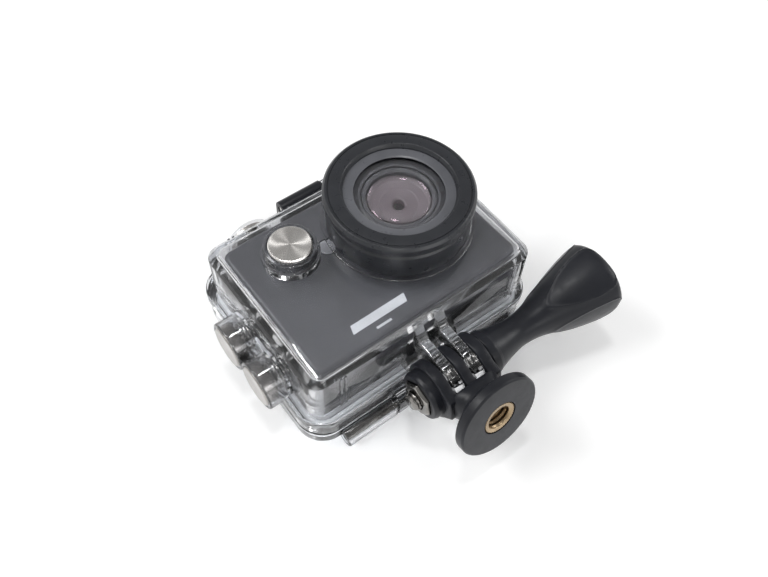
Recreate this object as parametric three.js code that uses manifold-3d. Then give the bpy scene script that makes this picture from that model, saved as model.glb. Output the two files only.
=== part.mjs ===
// Action camera in a clear dive housing, lying on its back, with a tripod adapter.
// Millimetres. +X to the handle's side, +Y to the camera's top, +Z the way the lens looks.
// The origin is in the outer face of the back door, under the middle of the camera.
import * as THREE from "three";
import { mergeVertices } from "three/addons/utils/BufferGeometryUtils.js";
import Module from "manifold-3d";

const wasm = await Module();
wasm.setup();

const GAP = 0.3;
const FINE = 36;
const MEDIUM = 24;
const COARSE = 14;

// Camera
const CAMERA_HALF_W = 29.65;
const CAMERA_HALF_H = 20.55;
const CAMERA_CORNER = 2.6;
const CAMERA_REAR = 3.6;
const CAMERA_FACE = 25.5;
const CAMERA_SPLIT = 19.45;
const CAMERA_WALL = 1.5;
const LENS_X = 10.85;
const LENS_Y = 3.25;
const LENS_R = 10.9;
const LENS_FRONT = 36.4;
const GRILLE_X = -7.75;
const GRILLE_Y = 7.35;

// Housing
const PLATE_FRONT = 28.4;
const PLATE_BACK = 26.4;
const PLATE_CHAMFER = 2.0;
const WALL_CENTRE = [-0.6, -0.4, 0];
const WALL_HALF_W = 32.75;
const WALL_HALF_H = 23.6;
const WALL_CORNER = 3.8;
const CAVITY_CENTRE = [-0.3, -0.2, 0];
const CAVITY_HALF_W = 30.4;
const CAVITY_HALF_H = 21.5;
const CAVITY_CORNER = 2.2;
const FLANGE_CENTRE = [-1.5, -0.2, 0];
const FLANGE_HALF_W = 34.4;
const FLANGE_HALF_H = 26.8;
const FLANGE_CORNER = 7.6;
const GROOVE_CENTRE = [-0.925, -0.2, 0];
const FLANGE_TOP = 13.5;
const FLANGE_UNDER = 11.0;
const SKIRT_STEP = 0.45;
const SEAM_TOP = 7.2;
const DOOR_TOP = 6.9;
const DOOR_FLOOR = 2.0;

// Lens port
const PORT_R = 17.9;
const PORT_RING_R = 18.5;
const PORT_BORE = 13.6;
const PORT_BASE = PLATE_FRONT + GAP;
const PORT_TOP = 36.6;
const RING_TOP = 39.7;

// Push buttons
const CAP_R = 5.35;
const SHAFT_R = 1.4;
const SHAFT_BORE = 1.7;
const RECESS_R = 5.75;
const SPRING_SEAT = [4.2, 3.0];
const SPRING_WALL = [3.9, 3.2];
const POWER_X = -17.05;
const POWER_Y = 8.7;
const SHUTTER_X = -18.0;
const SHUTTER_Z = 14.2;
const SIDE_Z = 13.8;
const SIDE_FACE = 39.9;
const UP_Y = 4.4;
const DOWN_Y = -8.5;

// Hinge and latch
const HINGE_Y = -27.5;
const HINGE_Z = 3.1;
const KNUCKLE_R = 2.6;
const HINGE_PIN_R = 1.3;
const HINGE_END = 27.8;
const HINGE_MID = 12.9;
const LATCH_Y = 27.1;
const LATCH_Z = 21.2;
const LATCH_LEFT = -8.8;
const LATCH_RIGHT = 24.0;
const LATCH_NOSE_R = 2.3;
const LATCH_EARS = [4.2, 16.0];
const EAR_WIDTH = 3.0;

// Mount, adapter and thumb screw
const MOUNT_X = -0.8;
const PIVOT_Y = -34.2;
const PIVOT_Z = 15.8;
const PRONG_R = 7.4;
const PRONG_PITCH = 6.1;
const PRONG_WIDTH = 2.8;
const BOLT_R = 2.35;
const BOLT_BORE = 2.65;
const DISC_TILT = 13.0;
const DISC_R = 11.1;
const DISC_FACE = 16.5;
const DISC_BACK = 13.7;
const INSERT_R = 4.3;
const INSERT_DEPTH = 9.3;
const THREAD_R = 2.95;
const KNOB_START = 8.0;
const KNOB_END = 47.4;
const PETAL_START = 29.0;
const PETAL_DISTANCE = 5.95;

const AXES = {
  x: new THREE.Matrix4().makeRotationY(Math.PI / 2),
  y: new THREE.Matrix4().makeRotationX(-Math.PI / 2),
  z: new THREE.Matrix4(),
};

function toSolid(geometry) {
  const bare = geometry.clone();
  bare.deleteAttribute("normal");
  bare.deleteAttribute("uv");
  const welded = mergeVertices(bare, 1e-5);
  const mesh = new wasm.Mesh({
    numProp: 3,
    vertProperties: new Float32Array(welded.attributes.position.array),
    triVerts: new Uint32Array(welded.index.array),
  });
  return new wasm.Manifold(mesh);
}

function toGeometry(solid) {
  const mesh = solid.getMesh();
  const geometry = new THREE.BufferGeometry();
  geometry.setAttribute("position", new THREE.BufferAttribute(mesh.vertProperties, 3));
  geometry.setIndex(new THREE.BufferAttribute(mesh.triVerts, 1));
  const flat = geometry.toNonIndexed();
  flat.computeVertexNormals();
  return flat;
}

function joined(solids) {
  return solids.reduce((sum, next) => sum.add(next));
}

function block(x, y, z) {
  const box = new THREE.BoxGeometry(x[1] - x[0], y[1] - y[0], z[1] - z[0]);
  box.translate((x[0] + x[1]) / 2, (y[0] + y[1]) / 2, (z[0] + z[1]) / 2);
  return toSolid(box);
}

// A shape turned round Z from [radius, height] pairs that start and end on the axis,
// or that close on themselves, then laid along an axis and moved to a centre.
function turned(profile, axis, centre, segments = FINE) {
  const points = profile.map(([radius, height]) => new THREE.Vector2(radius, height));
  const lathe = new THREE.LatheGeometry(points, segments);
  lathe.applyMatrix4(new THREE.Matrix4().makeRotationX(Math.PI / 2));
  lathe.applyMatrix4(AXES[axis]);
  lathe.translate(...centre);
  const solid = toSolid(lathe);
  return solid.volume() < 0 ? toSolid(flipped(lathe)) : solid;
}

function flipped(geometry) {
  const indexed = mergeVertices(geometry);
  const index = indexed.index.array;
  for (let i = 0; i < index.length; i += 3) {
    [index[i], index[i + 1]] = [index[i + 1], index[i]];
  }
  return indexed;
}

function rod(radius, from, to, axis, centre, segments = FINE) {
  return turned([[0, from], [radius, from], [radius, to], [0, to]], axis, centre, segments);
}

function tube(outer, inner, from, to, axis, centre, segments = FINE) {
  const wall = [[inner, from], [outer, from], [outer, to], [inner, to], [inner, from]];
  return turned(wall, axis, centre, segments);
}

function torus(major, minor, axis, centre) {
  const ring = new THREE.TorusGeometry(major, minor, 6, MEDIUM);
  ring.applyMatrix4(AXES[axis]);
  ring.translate(...centre);
  return toSolid(ring);
}

function outline(halfW, halfH, corner, z, steps = 4) {
  const points = [];
  const quarter = [[1, 1, 0], [-1, 1, 1], [-1, -1, 2], [1, -1, 3]];
  for (const [sx, sy, turn] of quarter) {
    for (let i = 0; i <= steps; i++) {
      const a = (turn + i / steps) * Math.PI / 2;
      const x = sx * (halfW - corner) + corner * Math.cos(a);
      const y = sy * (halfH - corner) + corner * Math.sin(a);
      points.push([x, y, z]);
    }
  }
  return points;
}

// A closed skin over a row of outlines with the same number of points, lowest first.
function lofted(rings) {
  const count = rings[0].length;
  const corners = rings.flat();
  const faces = [];
  for (let k = 0; k + 1 < rings.length; k++) {
    for (let i = 0; i < count; i++) {
      const a = k * count + i;
      const b = k * count + (i + 1) % count;
      faces.push([a, b, b + count], [a, b + count, a + count]);
    }
  }
  const last = (rings.length - 1) * count;
  for (let i = 1; i + 1 < count; i++) {
    faces.push([0, i + 1, i], [last, last + i, last + i + 1]);
  }
  const geometry = new THREE.BufferGeometry();
  geometry.setAttribute("position", new THREE.Float32BufferAttribute(corners.flat(), 3));
  geometry.setIndex(faces.flat());
  return toSolid(geometry);
}

function slab(halfW, halfH, corner, from, to) {
  return lofted([outline(halfW, halfH, corner, from), outline(halfW, halfH, corner, to)]);
}

// A flat shape in the YZ plane, from [y, z] pairs, with its thickness along X.
function plateAlongX(points, from, to) {
  const shape = new THREE.Shape(points.map(([y, z]) => new THREE.Vector2(y, z)));
  const plate = new THREE.ExtrudeGeometry(shape, { depth: to - from, bevelEnabled: false });
  plate.applyMatrix4(new THREE.Matrix4().set(0, 0, 1, from, 1, 0, 0, 0, 0, 1, 0, 0, 0, 0, 0, 1));
  return toSolid(plate);
}

function named(name, solid, color, roughness, metalness, opacity = 1) {
  const material = new THREE.MeshStandardMaterial({ color, roughness, metalness });
  material.transparent = opacity < 1;
  material.opacity = opacity;
  const mesh = new THREE.Mesh(toGeometry(solid), material);
  mesh.name = name;
  return mesh;
}

const clear = (name, solid) => named(name, solid, 0xe6ebee, 0.05, 0, 0.3);
const glass = (name, solid) => named(name, solid, 0x8d9196, 0.03, 0, 0.35);
const black = (name, solid) => named(name, solid, 0x26282b, 0.45, 0);
const slate = (name, solid) => named(name, solid, 0x55565c, 0.5, 0);
const rubber = (name, solid) => named(name, solid, 0x191a1b, 0.8, 0);
const steel = (name, solid) => named(name, solid, 0xb9b4ad, 0.3, 1);
const board = (name, solid) => named(name, solid, 0x1f4d33, 0.55, 0);

// Housing: the front shell

function shellBody() {
  const chamfer = PLATE_CHAMFER;
  const walls = lofted([
    outline(WALL_HALF_W, WALL_HALF_H, WALL_CORNER, SEAM_TOP),
    outline(WALL_HALF_W, WALL_HALF_H, WALL_CORNER, PLATE_FRONT - chamfer),
    outline(WALL_HALF_W - chamfer, WALL_HALF_H - chamfer, WALL_CORNER - chamfer, PLATE_FRONT),
  ]).translate(WALL_CENTRE);
  const flange = slab(FLANGE_HALF_W, FLANGE_HALF_H, FLANGE_CORNER, FLANGE_UNDER, FLANGE_TOP);
  const skirtW = FLANGE_HALF_W - SKIRT_STEP;
  const skirtH = FLANGE_HALF_H - SKIRT_STEP;
  const skirt = slab(skirtW, skirtH, FLANGE_CORNER - SKIRT_STEP, SEAM_TOP, FLANGE_UNDER + 0.5);
  return joined([walls, flange.add(skirt).translate(FLANGE_CENTRE)]);
}

function portCollar() {
  const height = 0.9;
  const centre = [LENS_X, LENS_Y, 0];
  return tube(PORT_RING_R + 1.3, PORT_R + GAP, PLATE_FRONT - 0.5, PLATE_FRONT + height, "z", centre);
}

function powerBoss() {
  const steps = [[0, 28], [7.1, 28], [7.1, 30.6], [6.45, 30.6], [6.45, 33.0], [0, 33.0]];
  return turned(steps, "z", [POWER_X, POWER_Y, 0]);
}

function sideBosses() {
  const reach = SIDE_FACE - 0.3;
  const up = rod(6.5, -reach, -32.5, "x", [0, UP_Y, SIDE_Z]);
  const down = rod(6.5, -reach, -32.5, "x", [0, DOWN_Y, SIDE_Z]);
  const web = block([-36.4, -32.5], [DOWN_Y, UP_Y], [8.6, 18.8]);
  return joined([up, down, web]);
}

function shutterBoss() {
  return rod(6.6, 22.3, 29.4, "y", [SHUTTER_X, 0, SHUTTER_Z]);
}

function wallRibs() {
  const ribs = [];
  for (const x of [-25.9, -24.6, 24.9, 26.2]) {
    ribs.push(block([x - 0.3, x + 0.3], [-24.4, -23.4], [FLANGE_TOP - 1, 26.2]));
    ribs.push(block([x - 0.3, x + 0.3], [22.7, 23.6], [FLANGE_TOP - 1, 26.2]));
  }
  return joined(ribs);
}

function mountProngs() {
  const round = 14;
  const points = [];
  for (let i = 0; i <= round; i++) {
    const a = Math.PI / 2 + (i / round) * Math.PI;
    points.push([PIVOT_Y + PRONG_R * Math.cos(a), PIVOT_Z + PRONG_R * Math.sin(a)]);
  }
  points.push([-26.0, 9.4], [-22.6, 9.4], [-22.6, 27.5], [-23.3, 27.5], [-26.4, 23.4]);
  const prongs = [MOUNT_X - PRONG_PITCH / 2, MOUNT_X + PRONG_PITCH / 2].map((x) =>
    plateAlongX(points, x - PRONG_WIDTH / 2, x + PRONG_WIDTH / 2));
  const base = plateAlongX([[-23.2, 12.5], [-26.4, 12.5], [-26.4, 16.5], [-23.2, 22.5]],
    MOUNT_X - 7.6, MOUNT_X + 7.6);
  return joined([...prongs, base]);
}

function shellKnuckle() {
  const barrel = rod(KNUCKLE_R, -HINGE_MID, HINGE_MID, "x", [0, HINGE_Y, HINGE_Z], MEDIUM);
  const outer = HINGE_Y - KNUCKLE_R;
  const arm = plateAlongX(
    [[outer, HINGE_Z], [-26.9, HINGE_Z], [-26.9, SEAM_TOP + 0.2], [-25.5, SEAM_TOP + 0.2],
      [-25.5, 10.2], [-27.2, 10.2], [outer, 7.6]],
    -HINGE_MID, HINGE_MID);
  return barrel.add(arm);
}

function latchEars() {
  return joined(LATCH_EARS.map((x) => {
    const eye = rod(1.95, x, x + EAR_WIDTH, "x", [0, LATCH_Y, LATCH_Z], COARSE);
    const foot = block([x, x + EAR_WIDTH], [22.3, LATCH_Y], [LATCH_Z - 1.95, LATCH_Z + 1.95]);
    return eye.add(foot);
  }));
}

function cavity(from, to) {
  return slab(CAVITY_HALF_W, CAVITY_HALF_H, CAVITY_CORNER, from, to).translate(CAVITY_CENTRE);
}

function shellCuts() {
  const cuts = [
    cavity(SEAM_TOP - 1, PLATE_BACK),
    rod(14.4, 20, PLATE_FRONT + 1.5, "z", [LENS_X, LENS_Y, 0]),
    rod(RECESS_R, 30.0, 34, "z", [POWER_X, POWER_Y, 0]),
    rod(SHAFT_BORE, 25, 31, "z", [POWER_X, POWER_Y, 0], COARSE),
    rod(2.7, 27.2, 28.6, "z", [POWER_X, POWER_Y, 0], COARSE),
    rod(RECESS_R, 25.7, 31, "y", [SHUTTER_X, 0, SHUTTER_Z]),
    tube(...SPRING_SEAT, 29.0, 30.5, "z", [POWER_X, POWER_Y, 0], MEDIUM),
    tube(...SPRING_SEAT, 24.7, 26.0, "y", [SHUTTER_X, 0, SHUTTER_Z], MEDIUM),
    rod(SHAFT_BORE, 21, 26, "y", [SHUTTER_X, 0, SHUTTER_Z], COARSE),
    rod(2.7, 22.6, 24.0, "y", [SHUTTER_X, 0, SHUTTER_Z], COARSE),
    rod(1.1, -4, 20, "x", [0, LATCH_Y, LATCH_Z], COARSE),
    rod(HINGE_PIN_R + GAP, -14, 14, "x", [0, HINGE_Y, HINGE_Z], COARSE),
    rod(BOLT_BORE, -8, 8, "x", [MOUNT_X, PIVOT_Y, PIVOT_Z], MEDIUM),
  ];
  for (const y of [UP_Y, DOWN_Y]) {
    cuts.push(rod(RECESS_R, -41, 5.3 - SIDE_FACE, "x", [0, y, SIDE_Z]));
    cuts.push(tube(...SPRING_SEAT, 5.0 - SIDE_FACE, 6.3 - SIDE_FACE, "x", [0, y, SIDE_Z], MEDIUM));
    cuts.push(rod(SHAFT_BORE, 5.0 - SIDE_FACE, -30, "x", [0, y, SIDE_Z], COARSE));
    cuts.push(rod(2.7, -34.0, -32.6, "x", [0, y, SIDE_Z], COARSE));
  }
  return joined(cuts);
}

function frontShell() {
  const solids = [shellBody(), portCollar(), powerBoss(), sideBosses(), shutterBoss(),
    wallRibs(), mountProngs(), shellKnuckle(), latchEars()];
  return clear("front_shell", joined(solids).subtract(shellCuts()));
}

// Housing: lens port

function portParts() {
  const centre = [LENS_X, LENS_Y, 0];
  const seat = 35.2;
  const ledge = 15.6;
  const lip = 37.9;
  const barrel = turned([
    [PORT_BORE, PORT_BASE], [PORT_R, PORT_BASE], [PORT_R, 35.4], [PORT_R - 0.5, 35.8],
    [PORT_R - 0.5, PORT_TOP], [ledge, PORT_TOP], [ledge, seat], [PORT_BORE, seat],
    [PORT_BORE, PORT_BASE],
  ], "z", centre);
  const ring = turned([
    [ledge, PORT_TOP + GAP], [PORT_RING_R - 0.3, PORT_TOP + GAP], [PORT_RING_R, 37.3],
    [PORT_RING_R, RING_TOP - 0.7], [PORT_RING_R - 0.7, RING_TOP], [14.3, RING_TOP],
    [13.56, 38.9], [13.56, 38.4], [LENS_R, 38.4], [LENS_R, lip], [ledge, lip],
    [ledge, PORT_TOP + GAP],
  ], "z", centre);
  const window = rod(15.3, PORT_TOP + GAP, lip - GAP, "z", centre);
  return [
    black("lens_port_barrel", barrel),
    black("lens_port_ring", ring),
    glass("port_window", window),
    rubber("port_seal", torus(14.7, 0.6, "z", [LENS_X, LENS_Y, 36.1])),
  ];
}

// Housing: back door

function doorShape() {
  const skirtW = FLANGE_HALF_W - SKIRT_STEP;
  const skirtH = FLANGE_HALF_H - SKIRT_STEP;
  const corner = FLANGE_CORNER - SKIRT_STEP;
  const tray = lofted([
    outline(skirtW - 2.4, skirtH - 2.4, corner - 1.6, 0),
    outline(skirtW - 0.8, skirtH - 0.8, corner - 0.6, 1.5),
    outline(skirtW, skirtH, corner, 3.4),
    outline(skirtW, skirtH, corner, DOOR_TOP),
  ]).translate(FLANGE_CENTRE);
  const catchBar = block([-7, 21], [24.5, LATCH_Y + 1.5], [2.8, 4.8]);
  const knuckles = [[-HINGE_END, -HINGE_MID - 0.4], [HINGE_MID + 0.4, HINGE_END]].map(([from, to]) =>
    rod(KNUCKLE_R, from, to, "x", [0, HINGE_Y, HINGE_Z], MEDIUM));
  return joined([tray, catchBar, ...knuckles]);
}

function backDoor() {
  const relief = 0.35;
  const middle = HINGE_MID + relief;
  const groove = slab(32.8, 24.6, 5.3, 5.6, DOOR_TOP + 1)
    .subtract(slab(31.45, 23.25, 3.95, 5.0, DOOR_TOP + 2)).translate(GROOVE_CENTRE);
  const solid = doorShape()
    .subtract(cavity(DOOR_FLOOR, DOOR_TOP + 1))
    .subtract(groove)
    .subtract(rod(KNUCKLE_R + relief, -middle, middle, "x", [0, HINGE_Y, HINGE_Z], MEDIUM))
    .subtract(rod(HINGE_PIN_R + GAP, -29, 29, "x", [0, HINGE_Y, HINGE_Z], COARSE));
  return clear("back_door", solid);
}

function doorTrim() {
  const gasket = slab(32.5, 24.3, 5.0, 5.9, DOOR_TOP + 0.05)
    .subtract(slab(31.75, 23.55, 4.25, 5.0, DOOR_TOP + 1)).translate(GROOVE_CENTRE);
  const pad = (from, to) => block([-22, 22], [from, to], [DOOR_FLOOR + GAP, CAMERA_REAR - GAP]);
  return [
    rubber("door_gasket", gasket),
    rubber("door_pad_upper", pad(17.0, 19.6)),
    rubber("door_pad_lower", pad(-19.6, -17.0)),
  ];
}

function hingePin() {
  const end = HINGE_END - GAP;
  return steel("hinge_pin", rod(HINGE_PIN_R, -end, end, "x", [0, HINGE_Y, HINGE_Z], COARSE));
}

// Housing: latch

function latchParts() {
  const nose = [];
  const steps = 12;
  for (let i = 0; i <= steps; i++) {
    const a = -Math.PI * 0.62 + (i / steps) * Math.PI * 1.12;
    nose.push([LATCH_Y + LATCH_NOSE_R * Math.sin(a), LATCH_Z + LATCH_NOSE_R * Math.cos(a)]);
  }
  const lever = plateAlongX([
    ...nose, ...[
      [2.65, 9.0], [3.95, 6.4], [3.95, 1.9], [3.35, 1.2], [2.55, 1.2],
      [1.95, 1.9], [1.95, 5.4], [0.55, 6.8], [0.55, 18.9],
    ].map(([reach, z]) => [LATCH_Y + reach, z]),
  ], LATCH_LEFT, LATCH_RIGHT);
  const slots = LATCH_EARS.map((x) =>
    block([x - GAP, x + EAR_WIDTH + GAP], [23, 31], [LATCH_Z - 2.5, LATCH_Z + 4]));
  const bore = rod(1.1, -12, 26, "x", [0, LATCH_Y, LATCH_Z], COARSE);
  const pin = rod(0.8, LATCH_LEFT + 0.2, LATCH_RIGHT - 0.2, "x", [0, LATCH_Y, LATCH_Z], COARSE);
  return [
    black("latch", lever.subtract(joined(slots)).subtract(bore)),
    steel("latch_pin", pin),
  ];
}

// Push buttons: a cap on a shaft, an O-ring and a return spring

function plungers() {
  const bevel = 0.35;
  const pusher = (capBack, capFront, shaftEnd) => [
    [0, shaftEnd], [SHAFT_R, shaftEnd], [SHAFT_R, capBack], [CAP_R, capBack],
    [CAP_R, capFront - bevel], [CAP_R - bevel, capFront], [0, capFront],
  ];
  const side = pusher(SIDE_FACE - 3.7, SIDE_FACE, 30.35);
  const mirrored = side.map(([radius, height]) => [radius, -height]);
  return [
    steel("power_plunger", turned(pusher(31.4, 33.5, 26.2), "z", [POWER_X, POWER_Y, 0])),
    steel("shutter_plunger", turned(pusher(27.1, 29.0, 21.25), "y", [SHUTTER_X, 0, SHUTTER_Z])),
    steel("up_plunger", turned(mirrored, "x", [0, UP_Y, SIDE_Z])),
    steel("down_plunger", turned(mirrored, "x", [0, DOWN_Y, SIDE_Z])),
  ];
}

function plungerSeals() {
  const seal = (axis, centre) => torus(SHAFT_R + 0.65, 0.3, axis, centre);
  return [
    rubber("power_seal", seal("z", [POWER_X, POWER_Y, 27.9])),
    rubber("shutter_seal", seal("y", [SHUTTER_X, 23.3, SHUTTER_Z])),
    rubber("up_seal", seal("x", [-33.3, UP_Y, SIDE_Z])),
    rubber("down_seal", seal("x", [-33.3, DOWN_Y, SIDE_Z])),
  ];
}

function returnSprings() {
  const sleeve = (from, to, axis, centre) => tube(...SPRING_WALL, from, to, axis, centre, COARSE);
  return [
    steel("power_spring", sleeve(29.1, 31.3, "z", [POWER_X, POWER_Y, 0])),
    steel("shutter_spring", sleeve(24.8, 27.0, "y", [SHUTTER_X, 0, SHUTTER_Z])),
    steel("up_spring", sleeve(3.8 - SIDE_FACE, 6.2 - SIDE_FACE, "x", [0, UP_Y, SIDE_Z])),
    steel("down_spring", sleeve(3.8 - SIDE_FACE, 6.2 - SIDE_FACE, "x", [0, DOWN_Y, SIDE_Z])),
  ];
}

// Camera body

function frontCover() {
  const edge = 1.2;
  const outer = lofted([
    outline(CAMERA_HALF_W, CAMERA_HALF_H, CAMERA_CORNER, CAMERA_SPLIT + 0.15),
    outline(CAMERA_HALF_W, CAMERA_HALF_H, CAMERA_CORNER, CAMERA_FACE - edge),
    outline(CAMERA_HALF_W - 0.35, CAMERA_HALF_H - 0.35, CAMERA_CORNER - 0.35, CAMERA_FACE - 0.35),
    outline(CAMERA_HALF_W - edge, CAMERA_HALF_H - edge, CAMERA_CORNER - edge, CAMERA_FACE),
  ]);
  const innerW = CAMERA_HALF_W - CAMERA_WALL;
  const innerH = CAMERA_HALF_H - CAMERA_WALL;
  const roof = CAMERA_FACE - CAMERA_WALL;
  const solid = outer
    .subtract(slab(innerW, innerH, CAMERA_CORNER - CAMERA_WALL, CAMERA_SPLIT - 1, roof))
    .subtract(rod(8.9, 20, 27, "z", [LENS_X, LENS_Y, 0]))
    .subtract(rod(4.9, 20, 27, "z", [POWER_X, POWER_Y, 0]))
    .subtract(rod(2.4, roof + 0.6, 27, "z", [GRILLE_X, GRILLE_Y, 0], COARSE));
  return slate("camera_front_cover", solid);
}

function rearCover() {
  const edge = 1.2;
  const outer = lofted([
    outline(CAMERA_HALF_W - edge, CAMERA_HALF_H - edge, CAMERA_CORNER - edge, CAMERA_REAR),
    outline(CAMERA_HALF_W, CAMERA_HALF_H, CAMERA_CORNER, CAMERA_REAR + edge),
    outline(CAMERA_HALF_W, CAMERA_HALF_H, CAMERA_CORNER, CAMERA_SPLIT - 0.15),
  ]);
  const innerW = CAMERA_HALF_W - CAMERA_WALL;
  const innerH = CAMERA_HALF_H - CAMERA_WALL;
  const corner = CAMERA_CORNER - CAMERA_WALL;
  const solid = outer
    .subtract(slab(innerW, innerH, corner, CAMERA_REAR + 2.6, CAMERA_SPLIT + 1))
    .subtract(block([-20.3, 12.3], [-12.3, 12.3], [0, CAMERA_REAR + 1.3]))
    .subtract(block([-19.3, 11.3], [-11.3, 11.3], [0, CAMERA_REAR + 4]))
    .subtract(rod(4.5, 17, 22, "y", [SHUTTER_X, 0, SHUTTER_Z], MEDIUM))
    .subtract(rod(3.7, -31, -27, "x", [0, UP_Y, SIDE_Z], MEDIUM))
    .subtract(rod(3.7, -31, -27, "x", [0, DOWN_Y, SIDE_Z], MEDIUM))
    .subtract(rod(1.3, 0, CAMERA_REAR + 1.2, "z", [20, 9.5, 0], COARSE))
    .subtract(block([-22.3, 2.3], [-22, -19.5], [6.7, 15.3]))
    .subtract(block([26, 31], [-4.3, 4.3], [9.7, 13.3]))
    .subtract(block([26, 31], [6.7, 15.3], [9.7, 13.3]))
    .subtract(block([26, 31], [-16.3, -6.2], [10.2, 12.3]));
  return black("camera_rear_cover", solid);
}

function cameraTrim() {
  const grille = rod(2.1, 24.9, 25.4, "z", [GRILLE_X, GRILLE_Y, 0], MEDIUM);
  return [
    steel("microphone_grille", grille),
    black("battery_door", block([-22, 2], [-20.5, -19.8], [7, 15])),
    glass("screen_window", block([-20, 12], [-12, 12], [CAMERA_REAR + 0.1, 4.6])),
    named("status_light", rod(1.0, 3.7, 4.5, "z", [20, 9.5, 0], COARSE), 0x3a7be0, 0.3, 0),
  ];
}

function cameraButtons() {
  return [
    slate("power_button", rod(4.6, 23.9, 25.9, "z", [POWER_X, POWER_Y, 0], MEDIUM)),
    slate("shutter_button", rod(4.2, 18.6, 20.95, "y", [SHUTTER_X, 0, SHUTTER_Z], MEDIUM)),
    slate("up_button", rod(3.4, -30.05, -27.7, "x", [0, UP_Y, SIDE_Z], MEDIUM)),
    slate("down_button", rod(3.4, -30.05, -27.7, "x", [0, DOWN_Y, SIDE_Z], MEDIUM)),
  ];
}

// Camera optics, front to back

function lensParts() {
  const centre = [LENS_X, LENS_Y, 0];
  const barrel = turned([
    [8.6, CAMERA_FACE + GAP], [LENS_R, CAMERA_FACE + GAP], [LENS_R, 33.0], [10.3, 33.6],
    [10.3, LENS_FRONT - 0.4], [9.9, LENS_FRONT], [9.3, LENS_FRONT], [9.3, 34.9], [8.6, 34.9],
    [8.6, CAMERA_FACE + GAP],
  ], "z", centre);
  const bezel = tube(9.0, 7.9, 35.2, LENS_FRONT - 0.2, "z", centre);
  const dome = [[0, 33.2], [7.6, 33.2], [7.6, 34.8]];
  const rise = 7;
  for (let i = 1; i < rise; i++) {
    const a = (i / rise) * Math.PI / 2;
    dome.push([7.6 * Math.cos(a), 34.8 + 1.5 * Math.sin(a)]);
  }
  dome.push([0, 36.3]);
  const front = turned(dome, "z", centre, MEDIUM);
  const inner = turned([[0, 24.6], [4.2, 24.6], [4.2, 25.6], [2.6, 26.5], [0, 26.9]], "z", centre, MEDIUM);
  return [
    black("lens_barrel", barrel),
    black("lens_bezel", bezel),
    glass("lens_front_element", front),
    black("aperture_plate", tube(8.2, 2.2, 31.0, 31.8, "z", centre, MEDIUM)),
    glass("lens_rear_element", inner),
  ];
}

// Camera electronics

function electronics() {
  const around = (x, y, halfX, halfY) => [[x - halfX, x + halfX], [y - halfY, y + halfY]];
  const socket = (y, halfY) => block([23.5, 29.0], [y - halfY, y + halfY], [10, 13])
    .subtract(block([25, 31], [y - halfY + 0.6, y + halfY - 0.6], [10.6, 12.4]));
  const can = (name, solid) => named(name, solid, 0x9a9c9e, 0.35, 1);
  return [
    named("image_sensor", block(...around(LENS_X, LENS_Y, 4.2, 3.6), [21.5, 22.6]), 0x2c3a44, 0.2, 0.3),
    board("sensor_board", block(...around(LENS_X, LENS_Y, 10, 10), [20.0, 21.2])),
    board("main_board", block([-25.8, 26.5], [-17.5, 17.0], [16.6, 17.8])),
    black("processor", block([-20, -6], [-13, 1], [18.1, 19.4])),
    named("battery", block([-24.5, 5.0], [-17.6, 11.5], [7.6, 16.2]), 0x2b3350, 0.5, 0),
    named("screen_panel", block([-19, 11], [-11, 11], [4.9, 6.4]), 0x101216, 0.15, 0),
    can("usb_socket", socket(11, 4)),
    can("hdmi_socket", socket(0, 4)),
    can("card_socket", block([12.5, 24.7], [-17.0, -5.4], [9.4, 13.1])),
    black("memory_card", block([25.0, 29.2], [-16.0, -6.5], [10.5, 12.0])),
    can("speaker", rod(4.5, 8.0, 11.5, "z", [13.5, 9.5, 0], MEDIUM)),
  ];
}

// Tripod adapter, in its own frame: the disc looks along -Y and is then tilted up

function tilted(solid) {
  const turn = new THREE.Matrix4().makeTranslation(MOUNT_X, PIVOT_Y, PIVOT_Z);
  turn.multiply(new THREE.Matrix4().makeRotationX(-THREE.MathUtils.degToRad(DISC_TILT)));
  return toSolid(toGeometry(solid).applyMatrix4(turn));
}

function adapterProng(from, to) {
  const points = [];
  const round = 14;
  for (let i = 0; i <= round; i++) {
    const a = -Math.PI / 2 + (i / round) * Math.PI;
    points.push([(PRONG_R - 0.1) * Math.cos(a), (PRONG_R - 0.1) * Math.sin(a)]);
  }
  points.push([-8.2, 5.8], [-8.2, -5.6]);
  return plateAlongX(points, from, to);
}

function tripodAdapter() {
  const inner = PRONG_PITCH / 2 - PRONG_WIDTH / 2 - GAP;
  const near = PRONG_PITCH / 2 + PRONG_WIDTH / 2 + GAP;
  const outer = near + PRONG_WIDTH + 0.1;
  const neck = lofted([
    outline(6.6, 5.0, 2.4, 7.9), outline(7.5, 5.8, 2.6, 8.5),
    outline(7.0, 6.0, 5.0, 10.6), outline(7.3, 6.9, 6.4, DISC_BACK + 0.6),
  ].map((ring) => ring.map(([x, height, reach]) => [x, -reach, height])));
  const disc = turned([
    [0, DISC_BACK], [DISC_R - 0.3, DISC_BACK], [DISC_R, DISC_BACK + 0.3],
    [DISC_R, DISC_FACE - 0.4], [DISC_R - 0.4, DISC_FACE], [0, DISC_FACE],
  ].map(([radius, height]) => [radius, -height]), "y", [0, 0, 0]);
  const nutBoss = rod(6.3, -outer - 2.6, -outer + 0.5, "x", [0, 0, 0], MEDIUM);
  const nutPocket = rod(5.0, -outer - 4, -outer - 0.4, "x", [0, 0, 0], 6);
  const body = joined([
    neck, disc, nutBoss,
    adapterProng(-outer, -near), adapterProng(-inner, inner), adapterProng(near, outer),
  ]);
  const solid = body
    .subtract(nutPocket)
    .subtract(rod(BOLT_BORE, -20, 20, "x", [0, 0, 0], MEDIUM))
    .subtract(rod(INSERT_R + GAP, -20, -INSERT_DEPTH + GAP, "y", [0, 0, 0], MEDIUM));
  return black("tripod_adapter", tilted(solid));
}

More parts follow.
